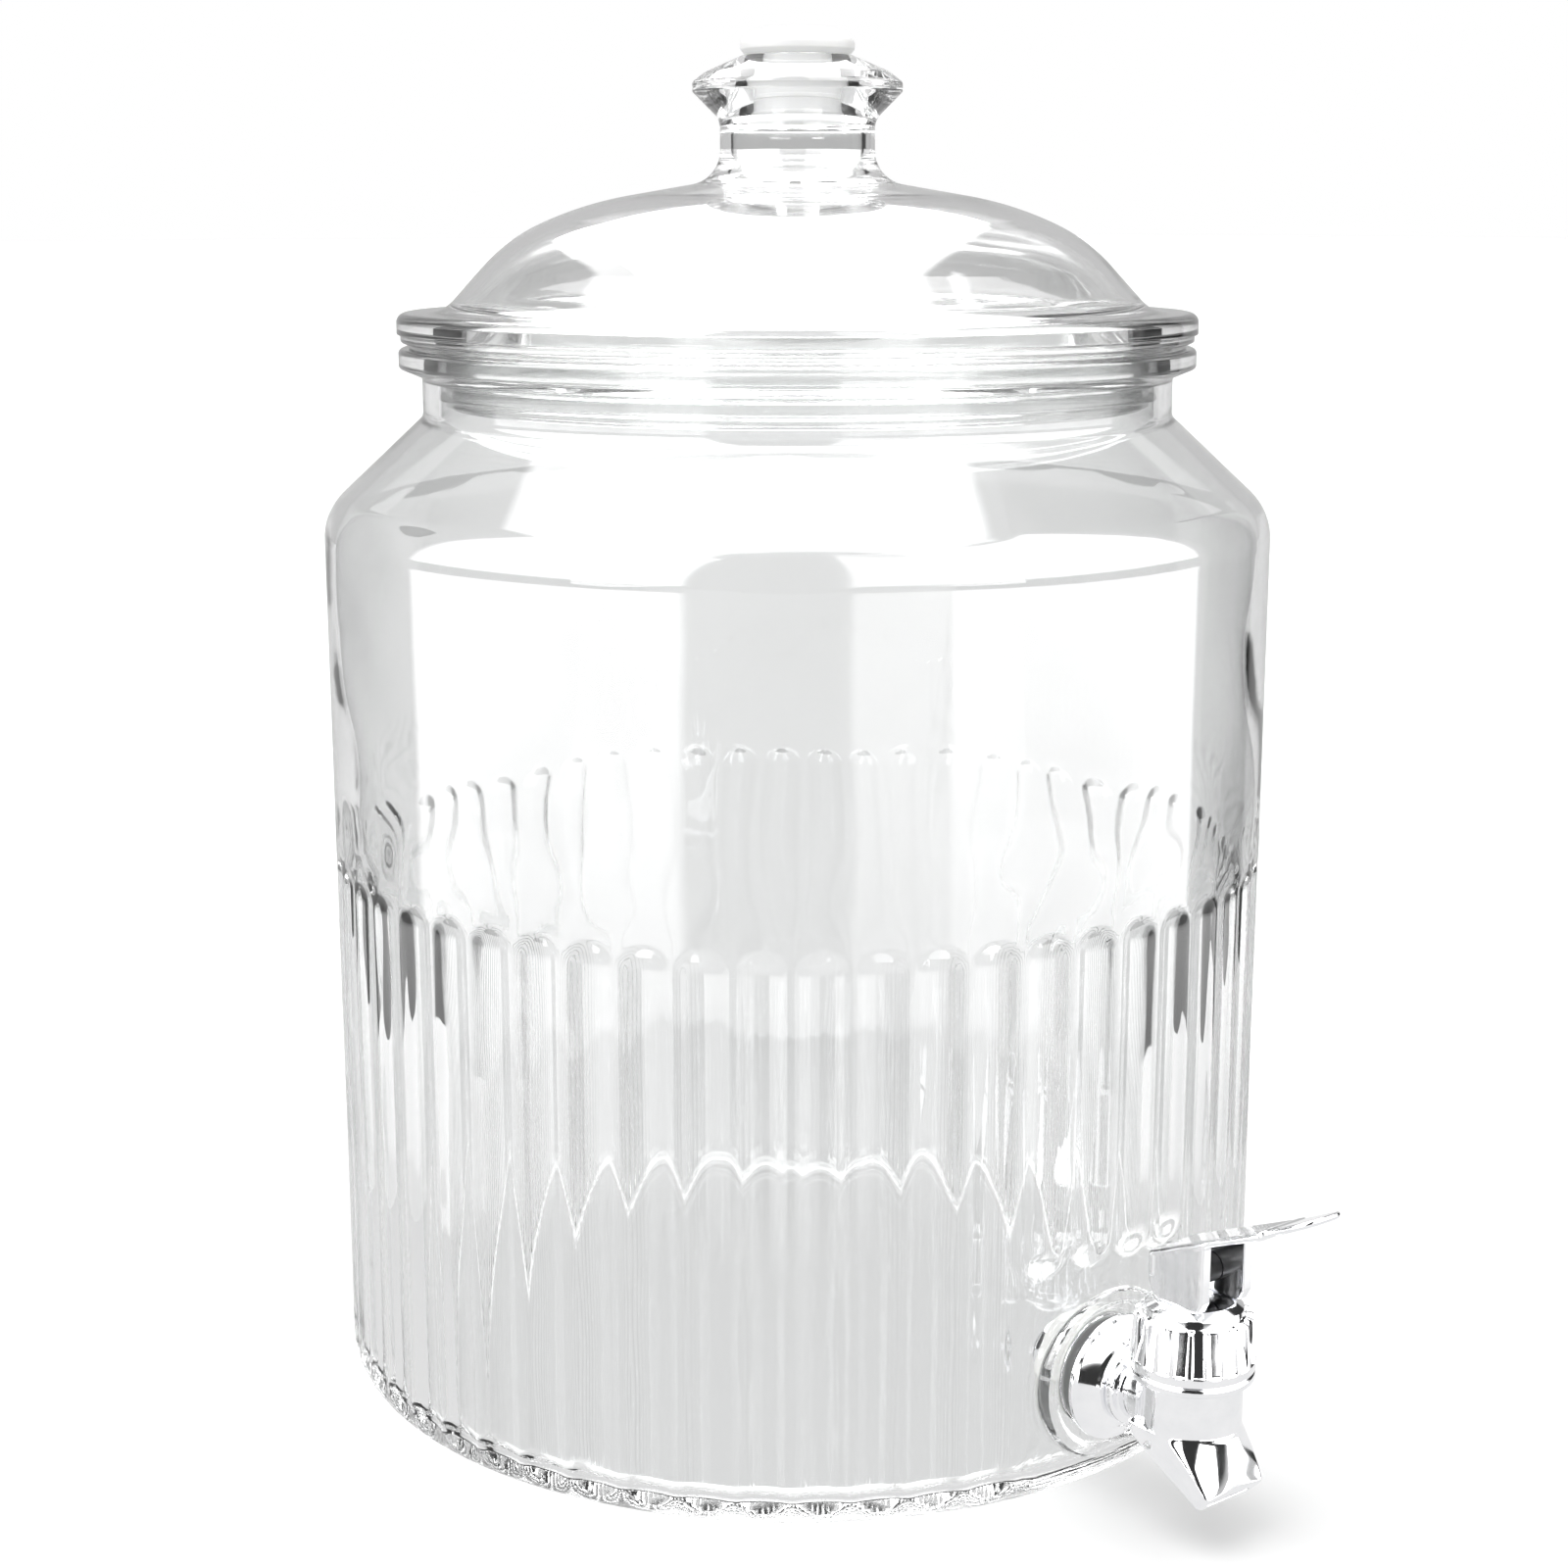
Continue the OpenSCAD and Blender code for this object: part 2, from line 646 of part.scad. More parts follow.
function plate_outline() = [
    [-cheek_back, plate_z(-cheek_back)],
    [ledge_reach, plate_z(ledge_reach)],
    [ledge_reach, plate_z(ledge_reach) + plate_t],
    [-cheek_back, plate_z(-cheek_back) + plate_t]];

// The finger paddle: a thin blade whose side outline and plan outline are both rounded
module paddle() {
    root = ledge_reach - 2;
    root_z = plate_z(root) + plate_t;
    tip_z = root_z + (paddle_reach - root) * tan(paddle_angle);
    intersection() {
        side_prism(rounded([
            [root, root_z - plate_t, 0],
            [paddle_reach, tip_z - paddle_t, 0.7],
            [paddle_reach, tip_z, 0.7],
            [root, root_z, 0]]), lever_w);
        translate([0, 0, root_z - plate_t - 4])
            linear_extrude(tip_z - root_z + plate_t + 6) polygon(rounded([
                [-lever_w / 2 + 1, -root + over, 0],
                [-paddle_w / 2, -ledge_reach - 3, 4],
                [-paddle_w / 2 - 0.4, -paddle_reach, 4],
                [paddle_w / 2 + 0.4, -paddle_reach, 4],
                [paddle_w / 2, -ledge_reach - 3, 4],
                [lever_w / 2 - 1, -root + over, 0]]));
    }
}

jar();
lid();
lid_seal();
knob_stopper();
tap_body();
wall_flange();
outer_washer();
inner_washer();
lock_nut();
bonnet();
seat_cup();
stem();
spring_collar();
stem_spring();
lever();
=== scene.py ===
"""Looks of the drink dispenser: clear fluted jar, domed lid with a stopper, chromed lever tap.

Lengths are millimetres inside the shape code and metres in Blender. Shapes start from the boxes
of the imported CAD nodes. The tap's parts use tap axes: x across, f forwards from the middle of the
barrel, z up.
"""
import json
import math

import bmesh
import bpy
import numpy as np
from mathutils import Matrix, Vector


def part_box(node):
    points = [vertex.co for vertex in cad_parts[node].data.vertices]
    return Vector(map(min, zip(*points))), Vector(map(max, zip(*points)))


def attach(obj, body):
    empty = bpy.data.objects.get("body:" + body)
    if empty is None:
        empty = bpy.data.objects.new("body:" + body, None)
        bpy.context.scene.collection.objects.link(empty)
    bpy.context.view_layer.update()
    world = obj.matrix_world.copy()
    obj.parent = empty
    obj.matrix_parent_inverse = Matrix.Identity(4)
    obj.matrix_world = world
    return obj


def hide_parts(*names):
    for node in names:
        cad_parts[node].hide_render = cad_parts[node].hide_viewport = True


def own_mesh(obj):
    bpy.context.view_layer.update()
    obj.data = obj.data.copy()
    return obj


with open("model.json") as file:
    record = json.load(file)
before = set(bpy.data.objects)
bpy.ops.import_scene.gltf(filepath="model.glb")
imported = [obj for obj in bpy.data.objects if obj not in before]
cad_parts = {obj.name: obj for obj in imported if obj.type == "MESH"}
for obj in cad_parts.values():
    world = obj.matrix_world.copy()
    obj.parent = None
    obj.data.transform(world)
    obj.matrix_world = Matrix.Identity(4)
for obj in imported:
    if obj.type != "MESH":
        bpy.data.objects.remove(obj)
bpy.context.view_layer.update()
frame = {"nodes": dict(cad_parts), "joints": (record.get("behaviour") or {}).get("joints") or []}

MM = 0.001
TURN = 2 * math.pi


def box_mm(node):
    low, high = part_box(node)
    return np.array(low) / MM, np.array(high) / MM


# --- Sizes, from the CAD ---------------------------------------------------------------------

JAR_HIGH = box_mm("jar")[1]
LID_LOW, LID_HIGH = box_mm("lid")
TAP_LOW, TAP_HIGH = box_mm("tap_body")
FLANGE_LOW, FLANGE_HIGH = box_mm("wall_flange")
CAP_LOW, CAP_HIGH = box_mm("bonnet")
STOP_LOW, STOP_HIGH = box_mm("knob_stopper")
SEAL_LOW, SEAL_HIGH = box_mm("lid_seal")
CUP_LOW, CUP_HIGH = box_mm("seat_cup")
SPRING_LOW, SPRING_HIGH = box_mm("stem_spring")
NUT_LOW, NUT_HIGH = box_mm("lock_nut")
LEVER_HIGH = box_mm("lever")[1]

JAR_R = JAR_HIGH[0]
JAR_TOP = JAR_HIGH[2]
WALL = 3.5
FLOOR = 5.0
BASE_ROUND = 8.0
NECK_R = JAR_R - 25.3
MOUTH_R = NECK_R - WALL - 0.2
RIM_R = JAR_R - 19.6
NECK_TOP = JAR_TOP - 7.0
NECK_FOOT = NECK_TOP - 9.8
SHOULDER_SLOPE = math.radians(42.9)
SHOULDER_Z = NECK_FOOT - (JAR_R - NECK_R) * math.tan(SHOULDER_SLOPE)

FLUTES = 56
FLUTE_DEPTH = 1.7
FLUTE_TOP = 138.5
PAD_TOP = 57.0
SHORT_FLUTES = 4
PITCH = TURN / FLUTES
FLUTE_HALF = 0.41 * PITCH * JAR_R
COLUMNS = FLUTES * 12            # of the jar's grid, round its axis
PATCH_HALF = 22                  # columns on each side of the tap that its patch takes the place of
ARC_ROWS_KEPT = 7                # rows of the base's rounded corner that lie below the patch

BARREL_F = -(CAP_LOW[1] + CAP_HIGH[1]) / 2      # the barrel's axis, forwards of the jar's
SHANK_Z = (FLANGE_LOW[2] + FLANGE_HIGH[2]) / 2
BOSS_FACE = BARREL_F - 25.9                     # outside, under the outer washer
BOSS_R = 20.8
PAD_FACE = BARREL_F - 31.4                      # inside, under the inner washer
PAD_R = 13.6
HOLE_R = 8.2
PIVOT = next(j for j in frame["joints"] if j["name"] == "lever_press")["pos_m"]
PIVOT_Z = PIVOT[2] / MM
HUB_BACK = FLANGE_LOW[1] + BARREL_F - 0.05      # where the arm's hub meets the flange

CASTING_CELL = 0.3      # grid steps of the solids given by a field
LEVER_CELL = 0.28
NUT_CELL = 0.4


# --- Outlines --------------------------------------------------------------------------------

def corner_points(a, b, c, radius, step=6.0):
    """The arc that rounds corner b, between a and c."""
    u, w = (a - b) / np.linalg.norm(a - b), (c - b) / np.linalg.norm(c - b)
    half = math.acos(np.clip(u @ w, -1, 1)) / 2
    mid = b + (u + w) / np.linalg.norm(u + w) * radius / math.sin(half)
    p, q = b + u * radius / math.tan(half) - mid, b + w * radius / math.tan(half) - mid
    start = math.atan2(p[1], p[0])
    turn = (math.atan2(q[1], q[0]) - start + math.pi) % TURN - math.pi
    n = max(2, math.ceil(abs(math.degrees(turn)) / step), math.ceil(radius * abs(turn) / 1.6))
    angles = start + turn * np.linspace(0, 1, n + 1)
    return [mid + radius * np.array([math.cos(t), math.sin(t)]) for t in angles]


def rounded(corners, step=6.0, closed=True):
    """An outline from corners (x, y, radius)."""
    pts = [np.array(c[:2], float) for c in corners]
    out = []
    for i, corner in enumerate(corners):
        ends = not closed and i in (0, len(corners) - 1)
        if corner[2] > 0 and not ends:
            out += corner_points(pts[i - 1], pts[i], pts[(i + 1) % len(pts)], corner[2], step)
        else:
            out.append(pts[i])
    return np.array(out)


def refined(line, longest, hold=0.35):
    """The same line with its flat stretches divided, and a point close to each of their ends."""
    out = [line[0]]
    for a, b in zip(line[:-1], line[1:]):
        length = np.linalg.norm(b - a)
        if length > 5:
            n = max(1, math.ceil((length - 2 * hold) / longest))
            inner = np.linspace(hold / length, 1 - hold / length, n + 1)
            out += [a + (b - a) * t for t in inner]
        out.append(b)
    return np.array(out)


def turned_outline(corners, longest=4.0, step=6.0):
    """A closed outline for turning, whose first and last corners may lie on the axis."""
    line = rounded(corners, step)
    on_axis = line[0][0] < 1e-9
    return refined(line if on_axis else np.vstack([line, line[:1]]), longest), on_axis


# --- Meshes ----------------------------------------------------------------------------------

def make_piece(name, verts, faces, body, material, replaces=(), sharp=38):
    """A smooth-shaded closed mesh that rides on a CAD body."""
    mesh = bpy.data.meshes.new(name)
    mesh.from_pydata((np.asarray(verts, float) * MM).tolist(), [], faces)
    bm = bmesh.new()
    bm.from_mesh(mesh)
    bmesh.ops.recalc_face_normals(bm, faces=bm.faces)
    bm.to_mesh(mesh)
    bm.free()
    mesh.polygons.foreach_set("use_smooth", [True] * len(mesh.polygons))
    mesh.set_sharp_from_angle(angle=math.radians(sharp))
    mesh.materials.append(material)
    obj = bpy.data.objects.new(name, mesh)
    bpy.context.scene.collection.objects.link(obj)
    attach(obj, body)
    if replaces:
        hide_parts(*replaces)
    return obj


def grid_faces(rows, columns, wrap_rows=False):
    """Quads of a grid of points whose columns close into a ring."""
    r = np.arange(rows if wrap_rows else rows - 1)[:, None]
    c = np.arange(columns)[None, :]
    down, right = (r + 1) % rows, (c + 1) % columns
    quads = np.stack([r * columns + c, r * columns + right, down * columns + right,
                      down * columns + c], -1)
    return quads.reshape(-1, 4)


def turned(corners, columns, longest=4.0, step=6.0):
    """(points as radius, angle, height; faces) of an outline turned round its axis."""
    line, on_axis = turned_outline(corners, longest, step)
    ring = line[1:-1] if on_axis else line[:-1]
    angle = np.arange(columns) * TURN / columns
    rad = np.repeat(ring[:, 0:1], columns, 1)
    pts = np.stack([rad, np.broadcast_to(angle, rad.shape), np.repeat(ring[:, 1:2], columns, 1)], -1)
    pts = pts.reshape(-1, 3)
    faces = grid_faces(len(ring), columns, wrap_rows=not on_axis).tolist()
    if on_axis:
        first, last = len(pts), len(pts) + 1
        pts = np.vstack([pts, [0, 0, line[0][1]], [0, 0, line[-1][1]]])
        top = (len(ring) - 1) * columns
        for c in range(columns):
            faces.append([first, (c + 1) % columns, c])
            faces.append([last, top + c, top + (c + 1) % columns])
    return pts, faces


def upright(pts, centre_f=0.0):
    """Points (radius, angle, height) set round an upright axis; angle 0 faces the tap's way."""
    return np.column_stack([pts[:, 0] * np.sin(pts[:, 1]),
                            -centre_f - pts[:, 0] * np.cos(pts[:, 1]), pts[:, 2]])


def along_shank(pts):
    """Points (radius, angle, distance behind the barrel's axis) set round the shank."""
    return np.column_stack([pts[:, 0] * np.sin(pts[:, 1]), -BARREL_F + pts[:, 2],
                            SHANK_Z + pts[:, 0] * np.cos(pts[:, 1])])


def from_tap(pts):
    """Points in tap axes (x, f, z) set in the row frame."""
    return np.column_stack([pts[:, 0], -BARREL_F - pts[:, 1], pts[:, 2]])


# --- Solids given by a distance field --------------------------------------------------------

def smooth_min(a, b, k):
    h = np.clip(0.5 + 0.5 * (b - a) / k, 0, 1)
    return b + (a - b) * h - k * h * (1 - h)


def smooth_max(a, b, k):
    return -smooth_min(-a, -b, k)


def within(value, low, high):
    """Distance outside a slab."""
    return np.maximum(low - value, value - high)


def outline_distance(x, y, outline):
    """Signed distance to a closed outline, negative inside."""
    best = np.full(x.shape, 1e9)
    inside = np.zeros(x.shape, bool)
    for (ax, ay), (bx, by) in zip(outline, np.roll(outline, -1, 0)):
        ex, ey, px, py = bx - ax, by - ay, x - ax, y - ay
        t = np.clip((px * ex + py * ey) / (ex * ex + ey * ey), 0, 1)
        best = np.minimum(best, (px - ex * t) ** 2 + (py - ey * t) ** 2)
        crosses = (ay > y) != (by > y)
        if ey != 0:
            inside ^= crosses & (x < ax + ex * (y - ay) / ey)
    return np.where(inside, -1, 1) * np.sqrt(best)


def surface_of(field, low, high, cell):
    """Surface nets: (points, quads) of the field's zero surface, with points moved onto it."""
    axes = [np.arange(low[k], high[k] + cell, cell) for k in range(3)]
    value = np.stack([field(*np.meshgrid([x], axes[1], axes[2], indexing="ij"))[0]
                      for x in axes[0]])
    inside = value < 0
    n = np.array(value.shape) - 1
    corners = [(i, j, k) for i in (0, 1) for j in (0, 1) for k in (0, 1)]

    def shifted(array, c):
        return array[c[0]:c[0] + n[0], c[1]:c[1] + n[1], c[2]:c[2] + n[2]]

    count = sum(shifted(inside, c).astype(np.int8) for c in corners)
    active = (count > 0) & (count < 8)
    cells = np.argwhere(active)
    number = np.full(active.shape, -1)
    number[active] = np.arange(len(cells))
    total, hits = np.zeros((len(cells), 3)), np.zeros(len(cells))
    for a in corners:
        for axis in range(3):
            if a[axis]:
                continue
            b = tuple(v + (i == axis) for i, v in enumerate(a))
            va, vb = shifted(value, a)[active], shifted(value, b)[active]
            cut = (va < 0) != (vb < 0)
            t = np.where(cut, va / np.where(cut, va - vb, 1), 0)
            at = np.array(a, float) + np.eye(3)[axis] * t[:, None]
            total += at * cut[:, None]
            hits += cut
    pts = np.array(low) + cell * (cells + total / hits[:, None])
    quads = []
    for axis in range(3):
        u, w = [k for k in range(3) if k != axis]
        a = [slice(None)] * 3
        b = [slice(None)] * 3
        a[axis], b[axis] = slice(0, -1), slice(1, None)
        cut = np.argwhere(inside[tuple(a)] != inside[tuple(b)])
        cut = cut[(cut[:, u] > 0) & (cut[:, w] > 0) & (cut[:, u] < n[u]) & (cut[:, w] < n[w])]
        around = []
        for du, dw in ((0, 0), (-1, 0), (-1, -1), (0, -1)):
            at = cut.copy()
            at[:, u] += du
            at[:, w] += dw
            around.append(number[tuple(at.T)])
        quads.append(np.stack(around, -1))
    quads = np.concatenate(quads)
    reach = cell * 0.05
    for _ in range(4):
        here = field(*pts.T)
        slope = np.stack([(field(*(pts + d).T) - field(*(pts - d).T)) / (2 * reach)
                          for d in np.eye(3) * reach], -1)
        step = here / np.maximum((slope ** 2).sum(1), 0.2)
        pts = pts - slope * np.clip(step, -cell / 2, cell / 2)[:, None]
    return pts, quads.tolist()


# --- Materials -------------------------------------------------------------------------------

def new_material(name):
    mat = bpy.data.materials.new(name)
    mat.use_nodes = True
    mat.node_tree.nodes.clear()
    return mat, mat.node_tree


def add(tree, kind, inputs=(), **settings):
    """Adds a node, sets its properties, and fills its inputs with values or sockets."""
    node = tree.nodes.new(kind)
    for key, value in settings.items():
        setattr(node, key, value)
    for key, value in dict(inputs).items():
        if isinstance(value, bpy.types.NodeSocket):
            tree.links.new(value, node.inputs[key])
        else:
            node.inputs[key].default_value = value
    return node


def noise(tree, scale, detail=2.0, stretch=(1, 1, 1)):
    """Noise over the object's own coordinates, in metres."""
    where = add(tree, "ShaderNodeTexCoord").outputs["Object"]
    placed = add(tree, "ShaderNodeMapping", {"Vector": where, "Scale": stretch}).outputs["Vector"]
    made = add(tree, "ShaderNodeTexNoise", {"Vector": placed, "Scale": scale, "Detail": detail})
    return made.outputs["Fac"]


def spread(tree, value, low, high, start=0.3, end=0.7):
    """Spreads a 0 to 1 value over a range."""
    made = add(tree, "ShaderNodeMapRange", {"Value": value, "From Min": start, "From Max": end,
                                            "To Min": low, "To Max": high})
    return made.outputs["Result"]


def bump(tree, height, distance, strength=1.0, normal=None):
    inputs = {"Height": height, "Distance": distance, "Strength": strength}
    if normal is not None:
        inputs["Normal"] = normal
    return add(tree, "ShaderNodeBump", inputs).outputs["Normal"]


def finish_material(tree, shader):
    add(tree, "ShaderNodeOutputMaterial", {"Surface": shader})


def clear_plastic(name, tint, wave_height, ior=1.5, haze=0.0):
    """Clear moulded plastic: slow waves in the surface, hairline wear, and a faint grey tint."""
    mat, tree = new_material(name)
    waves = bump(tree, noise(tree, 26, 1.0), wave_height)
    wear = noise(tree, 240, 6.0, (1, 1, 0.25))
    hairlines = bump(tree, noise(tree, 900, 3.0, (1, 1, 0.04)), 2e-6, 0.5, waves)
    surface = add(tree, "ShaderNodeBsdfPrincipled", {
        "Base Color": (*tint, 1),
        "Roughness": spread(tree, wear, haze, haze + 0.035),
        "IOR": ior,
        "Transmission Weight": 1.0,
        "Normal": hairlines})
    veil = add(tree, "ShaderNodeBsdfTransparent", {"Color": (0.985, 0.987, 0.987, 1)})
    path = add(tree, "ShaderNodeLightPath")
    passing = add(tree, "ShaderNodeMath", {0: path.outputs["Is Shadow Ray"],
                                           1: path.outputs["Is Diffuse Ray"]}, operation="MAXIMUM")
    mixed = add(tree, "ShaderNodeMixShader", {0: passing.outputs[0], 1: surface.outputs[0],
                                              2: veil.outputs[0]})
    finish_material(tree, mixed.outputs[0])
    return mat


def silicone(name, colour, see_through):
    """Soft moulded silicone: satin, slightly milky, with fine dust that clings to it."""
    mat, tree = new_material(name)
    dust = noise(tree, 1400, 8.0)
    cloud = noise(tree, 90, 3.0)
    shade = add(tree, "ShaderNodeMix", {0: spread(tree, cloud, 0.0, 1.0), 6: (*colour, 1),
                                        7: (*[c * 0.95 for c in colour], 1)}, data_type="RGBA")
    surface = add(tree, "ShaderNodeBsdfPrincipled", {
        "Base Color": shade.outputs[2],
        "Roughness": spread(tree, dust, 0.3, 0.5),
        "IOR": 1.41,
        "Transmission Weight": see_through,
        "Subsurface Weight": 0.35 * (1 - see_through),
        "Subsurface Radius": (0.004, 0.004, 0.0035),
        "Subsurface Scale": 1.0,
        "Normal": bump(tree, dust, 1.5e-5, 0.5)})
    finish_material(tree, surface.outputs[0])
    return mat


def white_plastic():
    """Natural acetal: off-white, with a fine moulded grain."""
    mat, tree = new_material("white_plastic_look")
    grain = noise(tree, 2600, 4.0)
    surface = add(tree, "ShaderNodeBsdfPrincipled", {
        "Base Color": (0.83, 0.83, 0.81, 1),
        "Roughness": spread(tree, noise(tree, 320, 4.0), 0.28, 0.42),
        "Subsurface Weight": 0.15,
        "Subsurface Radius": (0.002, 0.002, 0.002),
        "Subsurface Scale": 1.0,
        "Normal": bump(tree, grain, 1e-5, 0.4)})
    finish_material(tree, surface.outputs[0])
    return mat


def black_plastic():
    """Black acetal: satin, with a fine moulded grain and a few paler scuffs."""
    mat, tree = new_material("black_plastic_look")
    grain = noise(tree, 2600, 4.0)
    scuffs = spread(tree, noise(tree, 700, 6.0, (1, 1, 0.3)), 0.012, 0.03)
    tone = add(tree, "ShaderNodeCombineColor", {0: scuffs, 1: scuffs, 2: scuffs})
    surface = add(tree, "ShaderNodeBsdfPrincipled", {
        "Base Color": tone.outputs[0],
        "Roughness": spread(tree, noise(tree, 320, 4.0), 0.3, 0.45),
        "Normal": bump(tree, grain, 1e-5, 0.4)})
    finish_material(tree, surface.outputs[0])
    return mat


def chrome():
    """Bright plating over moulded plastic: slow waves, faint smears, and fine rub marks."""
    mat, tree = new_material("chrome_look")
    waves = bump(tree, noise(tree, 130, 1.0), 5e-5, 0.5)
    rubs = noise(tree, 1800, 6.0, (1, 1, 0.2))
    smears = noise(tree, 160, 5.0)
    tone = add(tree, "ShaderNodeMix", {0: spread(tree, smears, 0.0, 1.0), 6: (0.95, 0.95, 0.96, 1),
                                       7: (0.88, 0.885, 0.9, 1)}, data_type="RGBA")
    surface = add(tree, "ShaderNodeBsdfPrincipled", {
        "Base Color": tone.outputs[2],
        "Metallic": 1.0,
        "Roughness": spread(tree, smears, 0.03, 0.11),
        "Normal": bump(tree, rubs, 2e-6, 0.4, waves)})
    finish_material(tree, surface.outputs[0])
    return mat


def spring_steel():
    """Drawn stainless wire, with die lines and slightly uneven brightness."""
    mat, tree = new_material("spring_steel_look")
    lines = noise(tree, 3000, 4.0, (1, 1, 3))
    surface = add(tree, "ShaderNodeBsdfPrincipled", {
        "Base Color": (0.62, 0.62, 0.63, 1),
        "Metallic": 1.0,
        "Roughness": spread(tree, lines, 0.2, 0.38),
        "Normal": bump(tree, lines, 6e-6, 0.6)})
    finish_material(tree, surface.outputs[0])
    return mat


JAR_LOOK = clear_plastic("jar_look", (0.975, 0.98, 0.98), 1.2e-4)
LID_LOOK = clear_plastic("lid_look", (0.993, 0.995, 0.995), 0.5e-4)
SEAL_LOOK = clear_plastic("seal_look", (0.975, 0.98, 0.975), 0.3e-4, 1.41, 0.06)
WASHER_LOOK = silicone("washer_look", (0.9, 0.905, 0.9), 0.5)
STOPPER_LOOK = silicone("stopper_look", (0.93, 0.93, 0.925), 0.0)
WHITE_LOOK = white_plastic()
BLACK_LOOK = black_plastic()
CHROME_LOOK = chrome()
STEEL_LOOK = spring_steel()


# --- Jar -------------------------------------------------------------------------------------

def ripple(angle, z, height, turns, wave, seed, count=7):
    """Slow unevenness of a moulded wall: a few waves that close round the jar."""
    rng = np.random.default_rng(seed)
    total = 0
    for _ in range(count):
        around = rng.integers(turns[0], turns[1] + 1)
        along = TURN / rng.uniform(*wave) * rng.choice([-1, 1])
        total = total + np.sin(around * angle + along * z + rng.uniform(0, TURN))
    return height * total / math.sqrt(count)


def flute_scoop(angle, z, half, top):
    """How deep a flute is at a place, from 0 on the wall to 1 in the middle of the scoop."""
    number = np.floor(angle / PITCH)
    across = (angle / PITCH - number - 0.5) * PITCH * JAR_R
    short = np.abs(number + 0.5) < SHORT_FLUTES / 2
    past_top = np.maximum(0, z - (top - half))
    past_foot = np.where(short, np.maximum(0, PAD_TOP + half - z), 0)
    place = (across ** 2 + past_top ** 2 + past_foot ** 2) / half ** 2
    ease = 0.1
    bare = 1 - place
    return np.clip((bare + np.sqrt(bare ** 2 + ease ** 2)) / 2 - 0.01, 0, 1)


def jar_profile():
    """The jar's outline, and where the tap's patches are in it.

    Rows run from the base's middle, up outside, and down inside to the floor's middle. The other
    values are the first row of the outer patch, of the inner patch, and how many rows each has.
    """
    low_angle = np.radians(np.linspace(0, 90, 11))

    def low_corner(radius, foot, corner):
        return np.column_stack([radius - corner + corner * np.sin(low_angle),
                                foot + corner * (1 - np.cos(low_angle))])

    patch_levels = np.linspace(13, 53.6, 11)
    levels = np.concatenate([
        patch_levels, np.linspace(55, 67, 13), np.linspace(71, 125, 15),
        np.linspace(127, FLUTE_TOP + 3.5, 19), np.linspace(145, 160, 8), np.linspace(165, 195, 7)])
    drop = WALL / math.cos(SHOULDER_SLOPE)
    rise = math.tan(SHOULDER_SLOPE)
    inner_r = JAR_R - WALL
    upper = rounded([
        (JAR_R, 199, 0),
        (JAR_R, SHOULDER_Z, 15),
        (NECK_R, NECK_FOOT, 3),
        (NECK_R, NECK_TOP, 1.2),
        (RIM_R, NECK_TOP + 2.4, 0.8),
        (RIM_R, JAR_TOP, 1.2),
        (MOUTH_R, JAR_TOP, 1.0),
        (MOUTH_R, NECK_FOOT - drop + (WALL + 0.2) * rise, 5),
        (inner_r, SHOULDER_Z - drop + WALL * rise, 12),
        (inner_r, 199, 0)], 7.5, closed=False)
    upper = refined(upper, 5.0)
    outer_low = low_corner(JAR_R, 0, BASE_ROUND)
    inner_low = low_corner(inner_r, FLOOR, BASE_ROUND - 2)
    base = np.array([[40, 0], [80, 0], [outer_low[0][0] - 1, 0]])
    floor = np.array([[inner_low[0][0] - 1, FLOOR], [80, FLOOR], [40, FLOOR]])
    walls = np.column_stack([np.full(len(levels), JAR_R), levels])
    inside = np.column_stack([np.full(len(levels), inner_r), levels])[::-1]
    rows = np.vstack([base, outer_low, walls, upper, inside, inner_low[::-1], floor])
    patch_rows = len(low_angle) - ARC_ROWS_KEPT + len(patch_levels)
    outer_patch = len(base) + ARC_ROWS_KEPT
    inner_patch = len(rows) - len(floor) - ARC_ROWS_KEPT - patch_rows
    return rows, outer_patch, inner_patch, patch_rows


def jar_grid(rows):
    """The outline's rows turned round: flutes and slow waves outside, moulding waves inside."""
    angle = np.arange(COLUMNS) * TURN / COLUMNS
    angle = np.where(angle > math.pi, angle - TURN, angle)
    rad = np.repeat(rows[:, 0:1], COLUMNS, 1)
    z = np.repeat(rows[:, 1:2], COLUMNS, 1)
    a = np.broadcast_to(angle, rad.shape)
    outside = (np.arange(len(rows)) <= np.argmax(rows[:, 1]))[:, None]
    wall = (rad > NECK_R + 2) & (z < SHOULDER_Z)
    calm_half, calm_top = 30, 70                # the wall is even this far beside and above the tap
    near_tap = np.exp(-((a * JAR_R / calm_half) ** 4)) * (z < calm_top)

    scoop = flute_scoop(a, z, FLUTE_HALF, FLUTE_TOP)
    fluted = smooth_min(rad, JAR_R - FLUTE_DEPTH * scoop, 0.15)
    slow = ripple(a, z, 0.05, (3, 9), (60, 160), 3)
    rad_out = np.where(wall, fluted + slow * (1 - near_tap) * (z > 10), rad)

    echo = flute_scoop(a, z, FLUTE_HALF * 1.15, FLUTE_TOP + 6)
    swirl = ripple(a, z, 0.1, (14, 40), (22, 50), 11, 12) * np.exp(-((z - 145) / 12) ** 2)
    uneven = ripple(a, z, 0.12, (4, 22), (30, 90), 5, 10)
    inner_move = -0.12 * echo + (swirl + uneven) * (z > 12)
    rad_in = np.where(wall, rad + inner_move * (1 - near_tap), rad)
    rad = np.where(outside, rad_out, rad_in)
    return upright(np.stack([rad, a, z], -1).reshape(-1, 3))


def patch_border(start, patch_rows):
    """Ids of the grid points round a patch, in order."""
    left, right, end = -PATCH_HALF, PATCH_HALF, start + patch_rows - 1
    ids = [(start, c) for c in range(left, right)]
    ids += [(r, right) for r in range(start, end)]
    ids += [(end, c) for c in range(right, left, -1)]
    ids += [(r, left) for r in range(end, start, -1)]
    return [r * COLUMNS + c % COLUMNS for r, c in ids]


